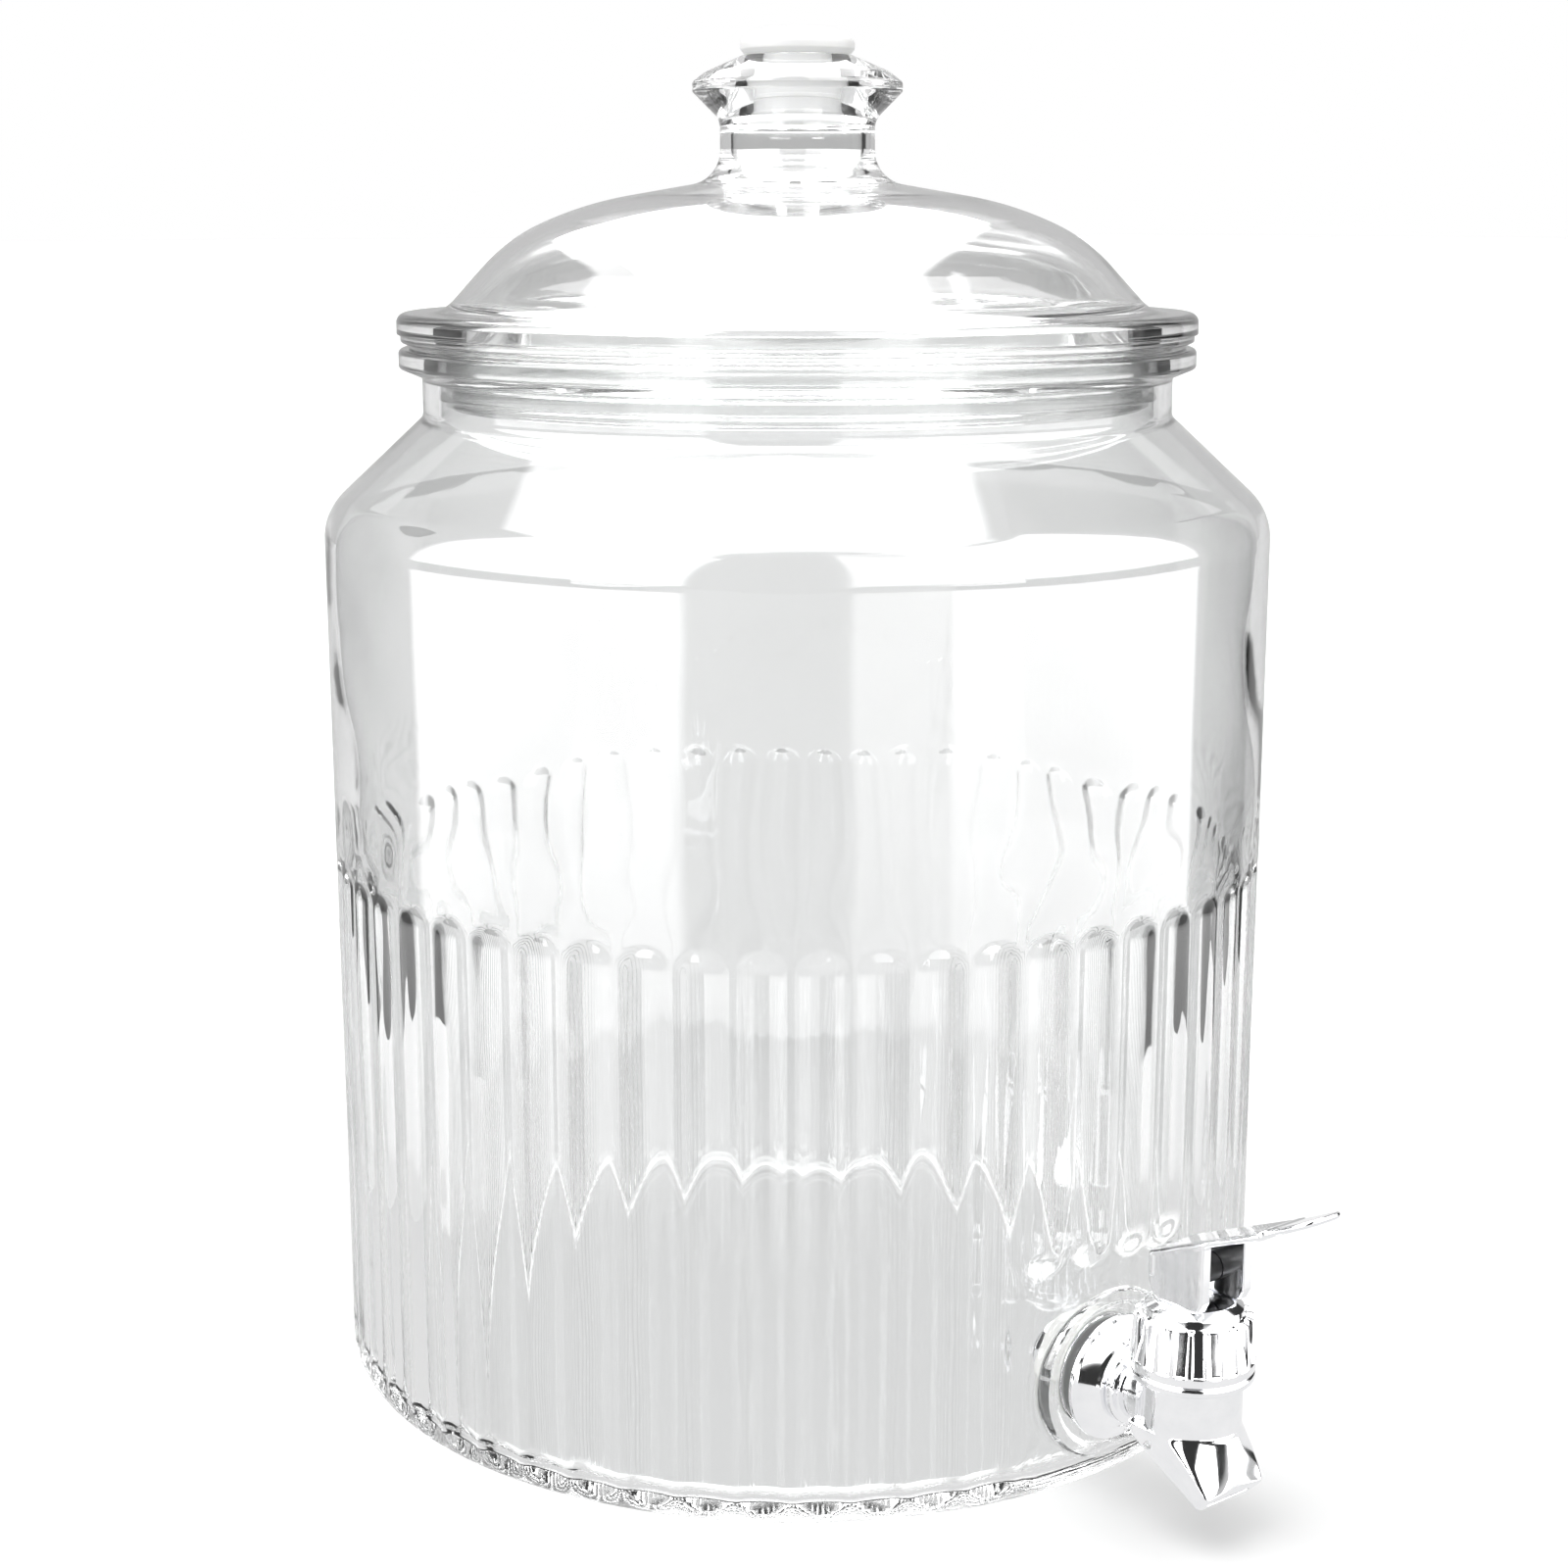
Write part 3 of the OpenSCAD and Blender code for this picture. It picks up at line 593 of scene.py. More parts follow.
def wall_reach(x, height, rows):
    """How far in front of the jar's axis a wall given by its outline's rows is."""
    return np.sqrt(np.interp(height, rows[:, 1], rows[:, 0]) ** 2 - x ** 2)


class Shell:
    """A mesh that grows by rings of points and bands of quads between them."""

    def __init__(self, pts, faces):
        self.pts, self.faces = pts, faces

    def add_ring(self, ring):
        ids = list(range(len(self.pts), len(self.pts) + len(ring)))
        self.pts = np.vstack([self.pts, ring])
        return ids

    def bridge(self, loops):
        """Quads between each loop of ids and the next."""
        for inner, outer in zip(loops[:-1], loops[1:]):
            for k in range(len(inner)):
                m = (k + 1) % len(inner)
                self.faces.append([inner[k], inner[m], outer[m], outer[k]])

    def patch(self, ids, radii, surface):
        """Fills a border in to a round hole about the shank, and gives the ids of the hole's ring.

        The rings follow radii, then run out to the border; surface says how far forwards they are.
        """
        rim = self.pts[ids]
        dx, dz = rim[:, 0], rim[:, 2] - SHANK_Z
        reach = np.hypot(dx, dz)
        direction = np.stack([dx, dz], -1) / reach[:, None]
        spread_out = [radii[-1] + (reach - radii[-1]) * share for share in (0.33, 0.67)]
        loops = []
        for rho in [np.full(len(ids), float(radius)) for radius in radii] + spread_out:
            x, up = (direction * rho[:, None]).T
            y = -surface(x, up + SHANK_Z, rho)
            loops.append(self.add_ring(np.column_stack([x, y, up + SHANK_Z])))
        self.bridge(loops + [ids])
        return loops[0]


def matched(hole, other, pts):
    """The other ring's ids, turned and, if need be, reversed to lie opposite the hole's."""
    def apart(a, b):
        return np.linalg.norm(pts[a][[0, 2]] - pts[b][[0, 2]])

    count = len(hole)
    start = min(range(count), key=lambda k: apart(other[k], hole[0]))
    forwards = [other[(start + k) % count] for k in range(count)]
    backwards = [other[(start - k) % count] for k in range(count)]
    return min(forwards, backwards, key=lambda ring: apart(ring[1], hole[1]))


def jar_surface():
    """Points and faces of the jar, with the tap's boss, inner pad and hole let into the grid."""
    rows, outer_patch, inner_patch, patch_rows = jar_profile()
    quads = grid_faces(len(rows), COLUMNS)
    row_of, col_of = np.divmod(np.arange(len(quads)), COLUMNS)
    near = (col_of < PATCH_HALF) | (col_of >= COLUMNS - PATCH_HALF)
    keep = np.ones(len(quads), bool)
    for start in (outer_patch, inner_patch):
        keep &= ~(near & (row_of >= start) & (row_of < start + patch_rows - 1))
    shell = Shell(jar_grid(rows), quads[keep].tolist())

    outer_wall = rows[outer_patch - ARC_ROWS_KEPT:outer_patch + patch_rows]
    inner_wall = rows[inner_patch:inner_patch + patch_rows][::-1]

    def outer_face(x, height, rho):
        recess, recess_r, flank = 0.3, 17.0, 2.2
        face = BOSS_FACE - recess * (1 - np.clip((rho - recess_r) / 0.8, 0, 1))
        boss = face - flank * np.maximum(0, rho - (BOSS_R - 0.6))
        return smooth_max(wall_reach(x, height, outer_wall), boss, 0.5)

    def inner_face(x, height, rho):
        flank = 3.0
        pad = PAD_FACE + flank * np.maximum(0, rho - PAD_R)
        return smooth_min(wall_reach(x, height, inner_wall), pad, 0.4)

    chamfer = 0.3
    outer_radii = [HOLE_R + chamfer, 9, 11, 13.5, 15.5, 16.5, 17.0, 17.4, 17.8, 18.5, 19.3,
                   19.8, 20.1, 20.4, 20.8, 21.2, 21.6, 22.2]
    inner_radii = [HOLE_R + chamfer, 9, 10.5, 12, 13, 13.4, 13.7, 14.0, 14.4, 15.0, 16.0, 18.0]
    outer_hole = shell.patch(patch_border(outer_patch, patch_rows), outer_radii, outer_face)
    inner_hole = shell.patch(patch_border(inner_patch, patch_rows)[::-1], inner_radii, inner_face)

    # the hole through the wall, with a small chamfer at both ends
    mouth, back_y = shell.pts[outer_hole], shell.pts[inner_hole][:, 1].mean()
    bore = (mouth[:, [0, 2]] - [0, SHANK_Z]) * HOLE_R / (HOLE_R + chamfer)
    through = [outer_hole]
    for share in (0.08, 0.92):
        y = mouth[:, 1] + (back_y - mouth[:, 1]) * share
        through.append(shell.add_ring(np.column_stack([bore[:, 0], y, bore[:, 1] + SHANK_Z])))
    shell.bridge(through + [matched(outer_hole, inner_hole, shell.pts)])

    # discs that close the base and the floor
    for row, height in ((0, 0.0), (len(rows) - 1, FLOOR)):
        centre, = shell.add_ring([[0, 0, height]])
        shell.faces.extend([centre, row * COLUMNS + c, row * COLUMNS + (c + 1) % COLUMNS]
                           for c in range(COLUMNS))
    return shell.pts, shell.faces


def build_jar():
    pts, faces = jar_surface()
    used = np.zeros(len(pts), bool)
    used[np.concatenate([np.array(f) for f in faces])] = True
    number = np.cumsum(used) - 1
    faces = [[int(number[i]) for i in f] for f in faces]
    make_piece("clear_jar", pts[used], faces, "jar", JAR_LOOK, ["jar"], 50)


# --- Lid, seal and stopper -------------------------------------------------------------------

def line_height(point, slope, radius):
    """Height at a radius of a line through point that rises inwards."""
    return point[1] + (point[0] - radius) * math.tan(math.radians(slope))


def meeting(p, slope_p, q, slope_q):
    tp, tq = math.tan(math.radians(slope_p)), math.tan(math.radians(slope_q))
    radius = (q[1] + q[0] * tq - p[1] - p[0] * tp) / (tq - tp)
    return radius, line_height(p, slope_p, radius)


def build_lid():
    lid_r, knob_top = LID_HIGH[0], LID_HIGH[2]
    skirt_z = LID_LOW[2]
    under = skirt_z + 16
    top = under + 7.2
    skirt_r = MOUTH_R - 3.3
    wall = 3.0
    knob_r, knob_foot, head_r, bore_r = 19.3, knob_top - 30.1, 26.1, 12.65
    edge_slope, knuckle_slope, crown_slope = 47.5, 23.6, 9.7
    edge, knuckle, crown = (lid_r - 11.5, top), (62.5, knob_foot - 10.0), (knob_r, knob_foot)
    edge_bend = meeting(edge, edge_slope, knuckle, knuckle_slope)
    crown_bend = meeting(knuckle, knuckle_slope, crown, crown_slope)

    def inset(point, slope):
        return point[0], point[1] - wall / math.cos(math.radians(slope))

    edge_in, knuckle_in = inset(edge, edge_slope), inset(knuckle, knuckle_slope)
    crown_in = inset(crown, crown_slope)
    bend_in = meeting(edge_in, edge_slope, knuckle_in, knuckle_slope)
    crown_bend_in = meeting(knuckle_in, knuckle_slope, crown_in, crown_slope)
    neck_in = knob_r - wall - 0.2
    pts, faces = turned([
        (skirt_r, skirt_z, 0.8),
        (skirt_r, under, 0.3),
        (lid_r - 0.9, under, 0.6),
        (lid_r - 0.9, under + 1.7, 0.15),
        (lid_r, under + 2.1, 0.3),
        (lid_r, top, 2.4),
        (*edge, 9),
        (*edge_bend, 45),
        (*crown_bend, 90),
        (knob_r, knob_foot, 8.5),
        (knob_r, knob_foot + 14.4, 5),
        (head_r, knob_foot + 14.4 + head_r - knob_r, 0.8),
        (head_r, knob_top - 6.6, 1.0),
        (head_r - 3.2, knob_top - 4.2, 6),
        (bore_r + 0.6, knob_top, 0.8),
        (bore_r, knob_top - 1.2, 0.4),
        (bore_r, knob_top - 17.6, 0.8),
        (neck_in, knob_top - 17.6, 1.6),
        (neck_in, line_height(crown_in, crown_slope, neck_in), 6),
        (*crown_bend_in, 87),
        (*bend_in, 42),
        (skirt_r - wall, line_height(edge_in, edge_slope, skirt_r - wall), 3),
        (skirt_r - wall, skirt_z, 0.8)], 320, 3.0, 5.0)
    uneven = ripple(pts[:, 1], pts[:, 0], 0.04, (3, 9), (30, 90), 21)
    on_dome = (pts[:, 0] < skirt_r - 4) & (pts[:, 0] > knob_r + 9)
    pts[:, 2] += uneven * on_dome
    make_piece("clear_lid", upright(pts), faces, "lid", LID_LOOK, ["lid"], 50)


def build_seal():
    """A silicone ring: a flange under the lid, a band on its skirt, and three thin ribs."""
    band_in = MOUTH_R - 3.25
    band_out = band_in + 1.3
    outline = [
        (band_in, SEAL_LOW[2], 0.2),
        (band_out, SEAL_LOW[2], 0.3)]
    for z in (SEAL_LOW[2] + 1.2, SEAL_LOW[2] + 4.8, SEAL_LOW[2] + 8.4):
        outline += [(band_out, z, 0.2), (MOUTH_R - 0.05, z + 0.8, 0.15),
                    (MOUTH_R - 0.05, z + 1.2, 0.15), (band_out, z + 1.15, 0.1)]
    outline += [
        (band_out, JAR_TOP + 0.05, 0.3),
        (SEAL_HIGH[0], JAR_TOP + 0.05, 0.4),
        (SEAL_HIGH[0], SEAL_HIGH[2], 0.4),
        (band_in, SEAL_HIGH[2], 0.2)]
    pts, faces = turned(outline, 320, 3.0, 20.0)
    make_piece("seal_ring", upright(pts), faces, "lid", SEAL_LOOK, ["lid_seal"])


def build_stopper():
    """A hollow plug with two sealing beads and a low domed cap that overhangs the knob's hole."""
    foot, rest, top = STOP_LOW[2], LID_HIGH[2] + 0.05, STOP_HIGH[2]
    cap_r, plug_r, bead_r = STOP_HIGH[0], 12.3, 12.6
    outline = [(plug_r - 2.6, foot, 0.4), (plug_r - 0.6, foot, 0.8), (plug_r, foot + 3.6, 0.5)]
    for z in (foot + 5.1, foot + 10.1):
        outline += [(plug_r, z, 0.1), (bead_r, z, 0.12),
                    (bead_r, z + 1.2, 0.5), (plug_r, z + 1.3, 0.1)]
    outline += [
        (plug_r, rest, 0.3),
        (bead_r + 0.6, rest, 0.2),
        (cap_r, rest + 1.2, 0.7),
        (cap_r, rest + 3.2, 1.5),
        (cap_r - 4, top - 0.6, 6),
        (0, top, 0)]
    line = [(0, foot + 13.6, 0), (plug_r - 2.6, foot + 13.6, 1.0)] + outline
    pts, faces = turned(line, 96, 2.0, 9.0)
    make_piece("stopper_plug", upright(pts), faces, "stopper", STOPPER_LOOK, ["knob_stopper"])


# --- Tap -------------------------------------------------------------------------------------

def below_line(f, z, point, slope):
    """Distance below a line in tap axes through point that rises towards the jar."""
    s = math.radians(slope)
    return (point[1] + (point[0] - f) * math.tan(s) - z) * math.cos(s)


def tap_field(x, f, z):
    """The barrel, collar, arm, hub and spout as one casting, with its passages."""
    rho = np.hypot(x, f)
    barrel_r, collar_r, neck_r = 11.7, 14.3, 10.9
    barrel_z, collar_z, cap_z = SHANK_Z - 7.6, SHANK_Z + 9.4, CAP_LOW[2] - 0.05
    toe, lip, brow_z = (11, SHANK_Z - 18), (14.9, SHANK_Z - 14.2), SHANK_Z - 1.9
    under_slope, width = 32.5, 9.5
    body = smooth_max(rho - barrel_r, within(z, barrel_z, collar_z + 2), 1.0)
    collar = smooth_max(rho - collar_r, within(z, collar_z, cap_z), 0.9)
    body = smooth_min(body, collar, 1.8)
    neck = smooth_max(rho - neck_r, within(z, collar_z, TAP_HIGH[2]), 0.6)
    body = smooth_min(body, neck, 0.3)

    # the spout's front runs from the barrel's round section at its brow to a straight lip
    share = np.clip((brow_z - z) / (brow_z - lip[1]), 0, 1.3)
    round_f = np.sqrt(np.maximum(barrel_r ** 2 - x ** 2, 0.5))
    front = (f - round_f * (1 - share) - lip[0] * share) * 0.85
    half_width = (barrel_r + 0.3) * (1 - share) + width * share
    mouth = ((f - toe[0]) * (lip[1] - toe[1]) - (z - toe[1]) * (lip[0] - toe[0])) / math.dist(toe, lip)
    under = below_line(f, z, toe, under_slope)
    spout = smooth_max(under, front, 1.2)
    spout = smooth_max(spout, mouth, 0.8)
    spout = smooth_max(spout, np.abs(x) - half_width, 1.6)
    spout = smooth_max(spout, within(f, -9, 16), 2.0)
    spout = smooth_max(spout, z - brow_z, 0.3)
    body = smooth_min(body, spout, 0.35)

    behind = -f
    across = np.hypot(x, z - SHANK_Z)
    arm = smooth_max(across - (8.6 - 1.4 * np.clip((behind - 4) / (HUB_BACK - 6.6), 0, 1)),
                     within(behind, 2, HUB_BACK), 0.5)
    hub = smooth_max(across - 9.2, within(behind, HUB_BACK - 2.6, HUB_BACK), 0.9)
    body = smooth_min(body, smooth_min(arm, hub, 0.8), 1.2)

    seat_z = barrel_z + 3
    chamber = smooth_max(rho - 9.3, seat_z - z, 0.3)
    port = smooth_max(rho - 3.9, within(z, barrel_z + 1, 90), 0.3)
    bore = smooth_max(across - 4.4, within(behind, 6, 60), 0.3)
    wall = 1.3
    roof = -below_line(f, z, lip, 54)
    passage = smooth_max(under + wall, roof + wall, 1.0)
    passage = smooth_max(passage, np.abs(x) - width + 2, 2.0)
    passage = smooth_max(passage, within(f, -3.9, 30), 0.6)
    passage = smooth_max(passage, z - barrel_z - 1.3, 0.5)
    hollow = np.minimum(np.minimum(chamber, port), np.minimum(bore, passage))
    return smooth_max(body, -hollow, 0.5)


def build_tap_body():
    pts, faces = surface_of(tap_field, (-16, -HUB_BACK - 1.5, TAP_LOW[2] - 2),
                            (16, 17.5, TAP_HIGH[2] + 1.5), CASTING_CELL)
    make_piece("tap_barrel", from_tap(pts), faces, "jar", CHROME_LOOK, ["tap_body"],
               60)
    end = TAP_HIGH[1] + BARREL_F
    root, crest, bore = 7.3, 8.0, 4.4
    start = HUB_BACK - 0.6
    outline = [(bore, start, 0), (root, start, 0)]
    for z in np.arange(HUB_BACK + 7, end - 2, 2.0):
        outline += [(root, z, 0.12), (crest, z + 0.7, 0.15),
                    (crest, z + 1.0, 0.15), (root, z + 1.7, 0.12)]
    outline += [(root, end, 0.5), (bore, end, 0.3)]
    pts, faces = turned(outline, 72, 3.0, 20.0)
    make_piece("tap_shank", along_shank(pts), faces, "jar", CHROME_LOOK, ())


def build_flange():
    back = FLANGE_HIGH[1] + BARREL_F
    front = FLANGE_LOW[1] + BARREL_F
    r = FLANGE_HIGH[0]
    pts, faces = turned([
        (HOLE_R, front, 0.2), (10.2, front, 0.6), (10.9, front + 1.1, 1.2), (r - 1, back - 1.7, 1.2),
        (r, back - 1.3, 0.4), (r, back, 0.4), (HOLE_R, back, 0.2)], 128, 1.0, 10.0)
    make_piece("bell_flange", along_shank(pts), faces, "jar", CHROME_LOOK, ["wall_flange"])


def build_washers():
    for name, node in (("washer_outside", "outer_washer"), ("washer_inside", "inner_washer")):
        low, high = box_mm(node)
        start, end, r = low[1] + BARREL_F, high[1] + BARREL_F, high[0]
        bulge = 0.25 * (end - start)
        pts, faces = turned([(HOLE_R, start, bulge), (r, start, bulge), (r, end, bulge),
                             (HOLE_R, end, bulge)], 96, 1.0, 20.0)
        make_piece(name, along_shank(pts), faces, "jar", WASHER_LOOK, [node])


def build_nut():
    start, end = NUT_LOW[1] + BARREL_F, NUT_HIGH[1] + BARREL_F
    across = 12.0

    def nut_field(x, f, z):
        behind, up = -f, z - SHANK_Z
        rho = np.hypot(x, up)
        flats = np.full(rho.shape, -1e9)
        for turn in (0, 60, 120):
            s = math.radians(turn)
            flats = smooth_max(flats, np.abs(x * math.sin(s) + up * math.cos(s)) - across, 0.5)
        nut = smooth_max(flats, within(behind, start, end), 0.6)
        nut = smooth_max(nut, (rho - 12.6 + (behind - end) * 0.58) * 0.87, 0.4)
        flange = smooth_max(rho - 13.4, within(behind, start, start + 1.6), 0.5)
        return smooth_max(smooth_min(nut, flange, 0.6), 8.05 - rho, 0.3)

    pts, faces = surface_of(nut_field, (-14.5, -end - 1, SHANK_Z - 14.5),
                            (14.5, -start + 1, SHANK_Z + 14.5), NUT_CELL)
    make_piece("shank_nut", from_tap(pts), faces, "jar", WHITE_LOOK, ["lock_nut"], 60)


def build_cap():
    """The ribbed cap: a plain band, a ring of grip ribs, and a low cone with a flat top."""
    foot, top, r = CAP_LOW[2], CAP_HIGH[2], CAP_HIGH[0]
    band_top, ring_top, taper = foot + 2.4, foot + 12.9, 0.8
    rib_height, ribs = 0.5, 22
    chamber, stem_hole, thread = 8.9, 3.06, 11.06
    pts, faces = turned([
        (thread, foot, 0.2),
        (r - 0.1, foot, 0.5),
        (r - 0.1, band_top, 0.5),
        (r - rib_height, band_top + 0.2, 0.2),
        (r - 2.4, ring_top - 0.4, 0.3),
        (11.8, ring_top, 0.3),
        (11.5, ring_top + 0.3, 0.4),
        (11.3, ring_top + 1.8, 0.5),
        (9.4, top, 0.4),
        (stem_hole, top, 0.2),
        (stem_hole, top - 3.2, 0.2),
        (chamber, top - 3.2, 0.3),
        (chamber, top - 9.1, 0.2),
        (thread, top - 9.1, 0.2)], ribs * 28, 0.6, 12.0)
    rad, angle, z = pts[:, 0], pts[:, 1], pts[:, 2]
    crest = r - taper * np.clip((z - band_top) / (ring_top - band_top), 0, 1)
    outside = (rad > r - 2.7) & (z > foot + 1.8) & (z < ring_top + 0.05)
    across = ((angle / TURN * ribs + 0.5) % 1 - 0.5) * TURN / ribs * r
    side = np.clip((0.85 - np.abs(across)) / 0.35, 0, 1)
    end = np.clip((ring_top - z) / 0.7, 0, 1)
    rib = (side * side * (3 - 2 * side)) * np.sqrt(1 - (1 - end) ** 2)
    lift = np.maximum(0, crest - rad) * (z > band_top - 0.3)
    pts[:, 0] = np.where(outside, rad + rib * lift, rad)
    make_piece("ribbed_cap", upright(pts, BARREL_F), faces, "jar", CHROME_LOOK, ["bonnet"],
               60)


def build_cup():
    """The valve's silicone bell, a thin skirt under a thick foot."""
    foot, top = CUP_LOW[2], CUP_HIGH[2]
    outer, rim, stem = 8.6, 10.9, 3.05
    bulb = foot + 1.95
    pts, faces = turned([
        (0, foot, 0),
        (5.4, foot, 0.6),
        (6.0, foot + 8, 2),
        (outer, foot + 14, 2),
        (outer, top - 1.2, 0.2),
        (rim, top - 1.2, 0.3),
        (rim, top, 0.3),
        (outer - 1.3, top, 0.3),
        (outer - 1.3, foot + 14, 2),
        (stem, foot + 9, 0.2),
        (stem, bulb + 5.0, 0.2),
        (3.45, bulb + 3.6, 0.6),
        (3.45, bulb, 1.0),
        (0, bulb, 0)], 72, 1.5, 15.0)
    cup = make_piece("valve_cup", upright(pts, BARREL_F), faces, "stem", WASHER_LOOK, ["seat_cup"])
    return cup, foot, top


def build_spring():
    """A compression spring whose two end coils are closed and ground flat."""
    foot, top = SPRING_LOW[2], SPRING_HIGH[2]
    wire, coil, turns, sides, steps = 0.45, 4.6, 6.6, 12, 36
    total = int(turns * steps)
    t = np.linspace(0, 1, total + 1)
    closed = 0.8 / turns
    share = np.clip((t - closed) / (1 - 2 * closed), 0, 1)
    rise = share * share * (3 - 2 * share) * 0.35 + share * 0.65
    dead = 2 * wire * 0.9 * np.clip(t / closed, 0, 1)
    tail = 2 * wire * 0.9 * np.clip((t - 1 + closed) / closed, 0, 1)
    z = foot + wire + dead + tail + rise * (top - foot - 2 * wire - 3.6 * wire)
    a = TURN * turns * t
    around = np.arange(sides) * TURN / sides
    r = coil + wire * np.cos(around)[None, :]
    height = np.clip(z[:, None] + wire * np.sin(around)[None, :], foot + 0.12, top - 0.12)
    pts = np.stack([r * np.sin(a)[:, None], r * np.cos(a)[:, None], height], -1).reshape(-1, 3)
    faces = grid_faces(total + 1, sides).tolist()
    faces += [list(range(sides)), [total * sides + k for k in range(sides)][::-1]]
    spring = make_piece("valve_spring", from_tap(pts), faces, "stem", STEEL_LOOK, ["stem_spring"],
                        60)
    return spring, foot, top


def squeeze(piece, foot, top):
    """Gives the piece its own copy of its mesh."""
    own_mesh(piece)


# --- Lever -----------------------------------------------------------------------------------

def cam_outline():
    """Side outline of a cheek about the pivot, in tap axes: flat behind, then the cam."""
    rest, rate = 6.0, 5.6
    back, front, heel = 7.0, 9.8, 4.2
    arc = [(-back + heel * (1 - math.cos(t)), -rest + heel * (1 - math.sin(t)))
           for t in np.radians(np.linspace(0, 90, 8))]
    cam = [(rate * math.cos(t) + (rest + rate * t) * math.sin(t),
            rate * math.sin(t) - (rest + rate * t) * math.cos(t))
           for t in np.radians(np.linspace(0, 25, 9))]
    return np.array([(-back, 5.0)] + arc + cam + [(front, -rest + 3.0), (front, 12.0)])


def lever_field(x, f, z):
    """Two cheeks with a cam edge, the sloping plate over them, and the thin finger paddle."""
    z = z - PIVOT_Z
    width, cheek, trunnion = 8.0, 2.6, 1.95
    outline = outline_distance(f, z, CAM)
    back, plate_foot, plate_end, thick = -7.0, 3.2, 25.5, 1.8
    slope = math.radians(23.2)
    over = (z - plate_foot) * math.cos(slope) - (f - back) * math.sin(slope)
    cheeks = smooth_max(outline, np.abs(np.abs(x) - width + cheek / 2) - cheek / 2, 0.5)
    cheeks = np.maximum(cheeks, over - thick / 2)
    plate = smooth_max(within(over, 0, thick * math.cos(slope)), within(f, back, plate_end), 0.5)
    plate = smooth_max(plate, np.abs(x) - width, 0.8)
    web = smooth_max(within(f, back, back + 1.6), within(z, -0.8, 4.0), 0.4)
    web = smooth_max(web, np.abs(x) - width, 0.6)
    body = smooth_min(smooth_min(cheeks, plate, 0.3), web, 0.5)

    root_f, tip_f = 23.5, 38.2
    root_z = plate_foot + (root_f - back) * math.tan(slope) + thick
    run = f - root_f
    top = root_z + run * math.tan(math.radians(26))
    blade_thick = 1.8 - 0.2 * np.clip(run / 12, 0, 1)
    blade = within(z, top - blade_thick, top) * 0.92
    half = 7.0 - 0.8 * np.clip(run / 5, 0, 1) + 0.4 * np.clip((run - 5) / 9, 0, 1)
    tip = np.hypot(np.maximum(f - (tip_f - 5), 0), np.maximum(np.abs(x) - (half - 5), 0)) - 5
    sides = np.where(f > tip_f - 5, tip, np.abs(x) - half)
    plan = np.maximum(sides, root_f - f)
    paddle = smooth_max(blade, plan, 0.8)
    body = smooth_min(body, paddle, 1.0)
    hole = np.hypot(f, z) - trunnion
    hole = np.maximum(hole, np.abs(x) - width + 0.8)
    return smooth_max(body, -hole, 0.2)


CAM = cam_outline()


def build_lever():
    pts, faces = surface_of(lever_field, (-9.5, -8.2, PIVOT_Z - 7.5), (9.5, 39.7, LEVER_HIGH[2] + 2),
                            LEVER_CELL)
    make_piece("thumb_lever", from_tap(pts), faces, "lever", CHROME_LOOK, ["lever"],
               60)


def dress_cad_parts():
    """The stem and its ring keep their CAD shapes, with softened edges."""
    for name in ("stem", "spring_collar"):
        node = frame["nodes"][name]
        node.data.materials.clear()
        node.data.materials.append(BLACK_LOOK)
        edges = node.modifiers.new("soft_edges", "BEVEL")
        edges.width = 0.15 * MM
        edges.segments = 2
        edges.limit_method = "ANGLE"
        edges.angle_limit = math.radians(40)


# --- Studio ----------------------------------------------------------------------------------

CAMERA_TURN = math.radians(-38)
CAMERA_BACK = Vector((math.sin(CAMERA_TURN), -math.cos(CAMERA_TURN), 0))
CAMERA_RIGHT = Vector((math.cos(CAMERA_TURN), math.sin(CAMERA_TURN), 0))
PICTURE_HALF_WIDTH = 0.32        # as a share of the distance from the camera
WHITE = (1, 1, 1, 1)

# brightness in reflections
PLAIN_WALL = 0.55
ROOM_DARKER = 0.51               # how much darker than the wall the dark room is
SOFTBOX = 7.0
TABLE_SHEEN = 0.9
# brightness as seen through the clear walls
WALL_BEHIND = 0.66
SOFTBOX_BEHIND = 0.25            # on top of the wall's
TABLE_UNDER = 0.76


def calc(tree, operation, a, b=0.0):
    return add(tree, "ShaderNodeMath", {0: a, 1: b}, operation=operation).outputs[0]


def blend(tree, share, a, b):
    """The value a where share is 0, and b where it is 1."""
    return add(tree, "ShaderNodeMix", {0: share, 2: a, 3: b}).outputs[0]


def ramp(tree, value, low, high):
    """Rises smoothly from 0 at low to 1 at high."""
    return add(tree, "ShaderNodeMapRange", {"Value": value, "From Min": low, "From Max": high},
               interpolation_type="SMOOTHSTEP").outputs["Result"]


def band(tree, value, low, high, soft):
    """1 between low and high and 0 outside them, with soft edges."""
    rise = ramp(tree, value, low - soft, low + soft)
    return calc(tree, "SUBTRACT", rise, ramp(tree, value, high - soft, high + soft))


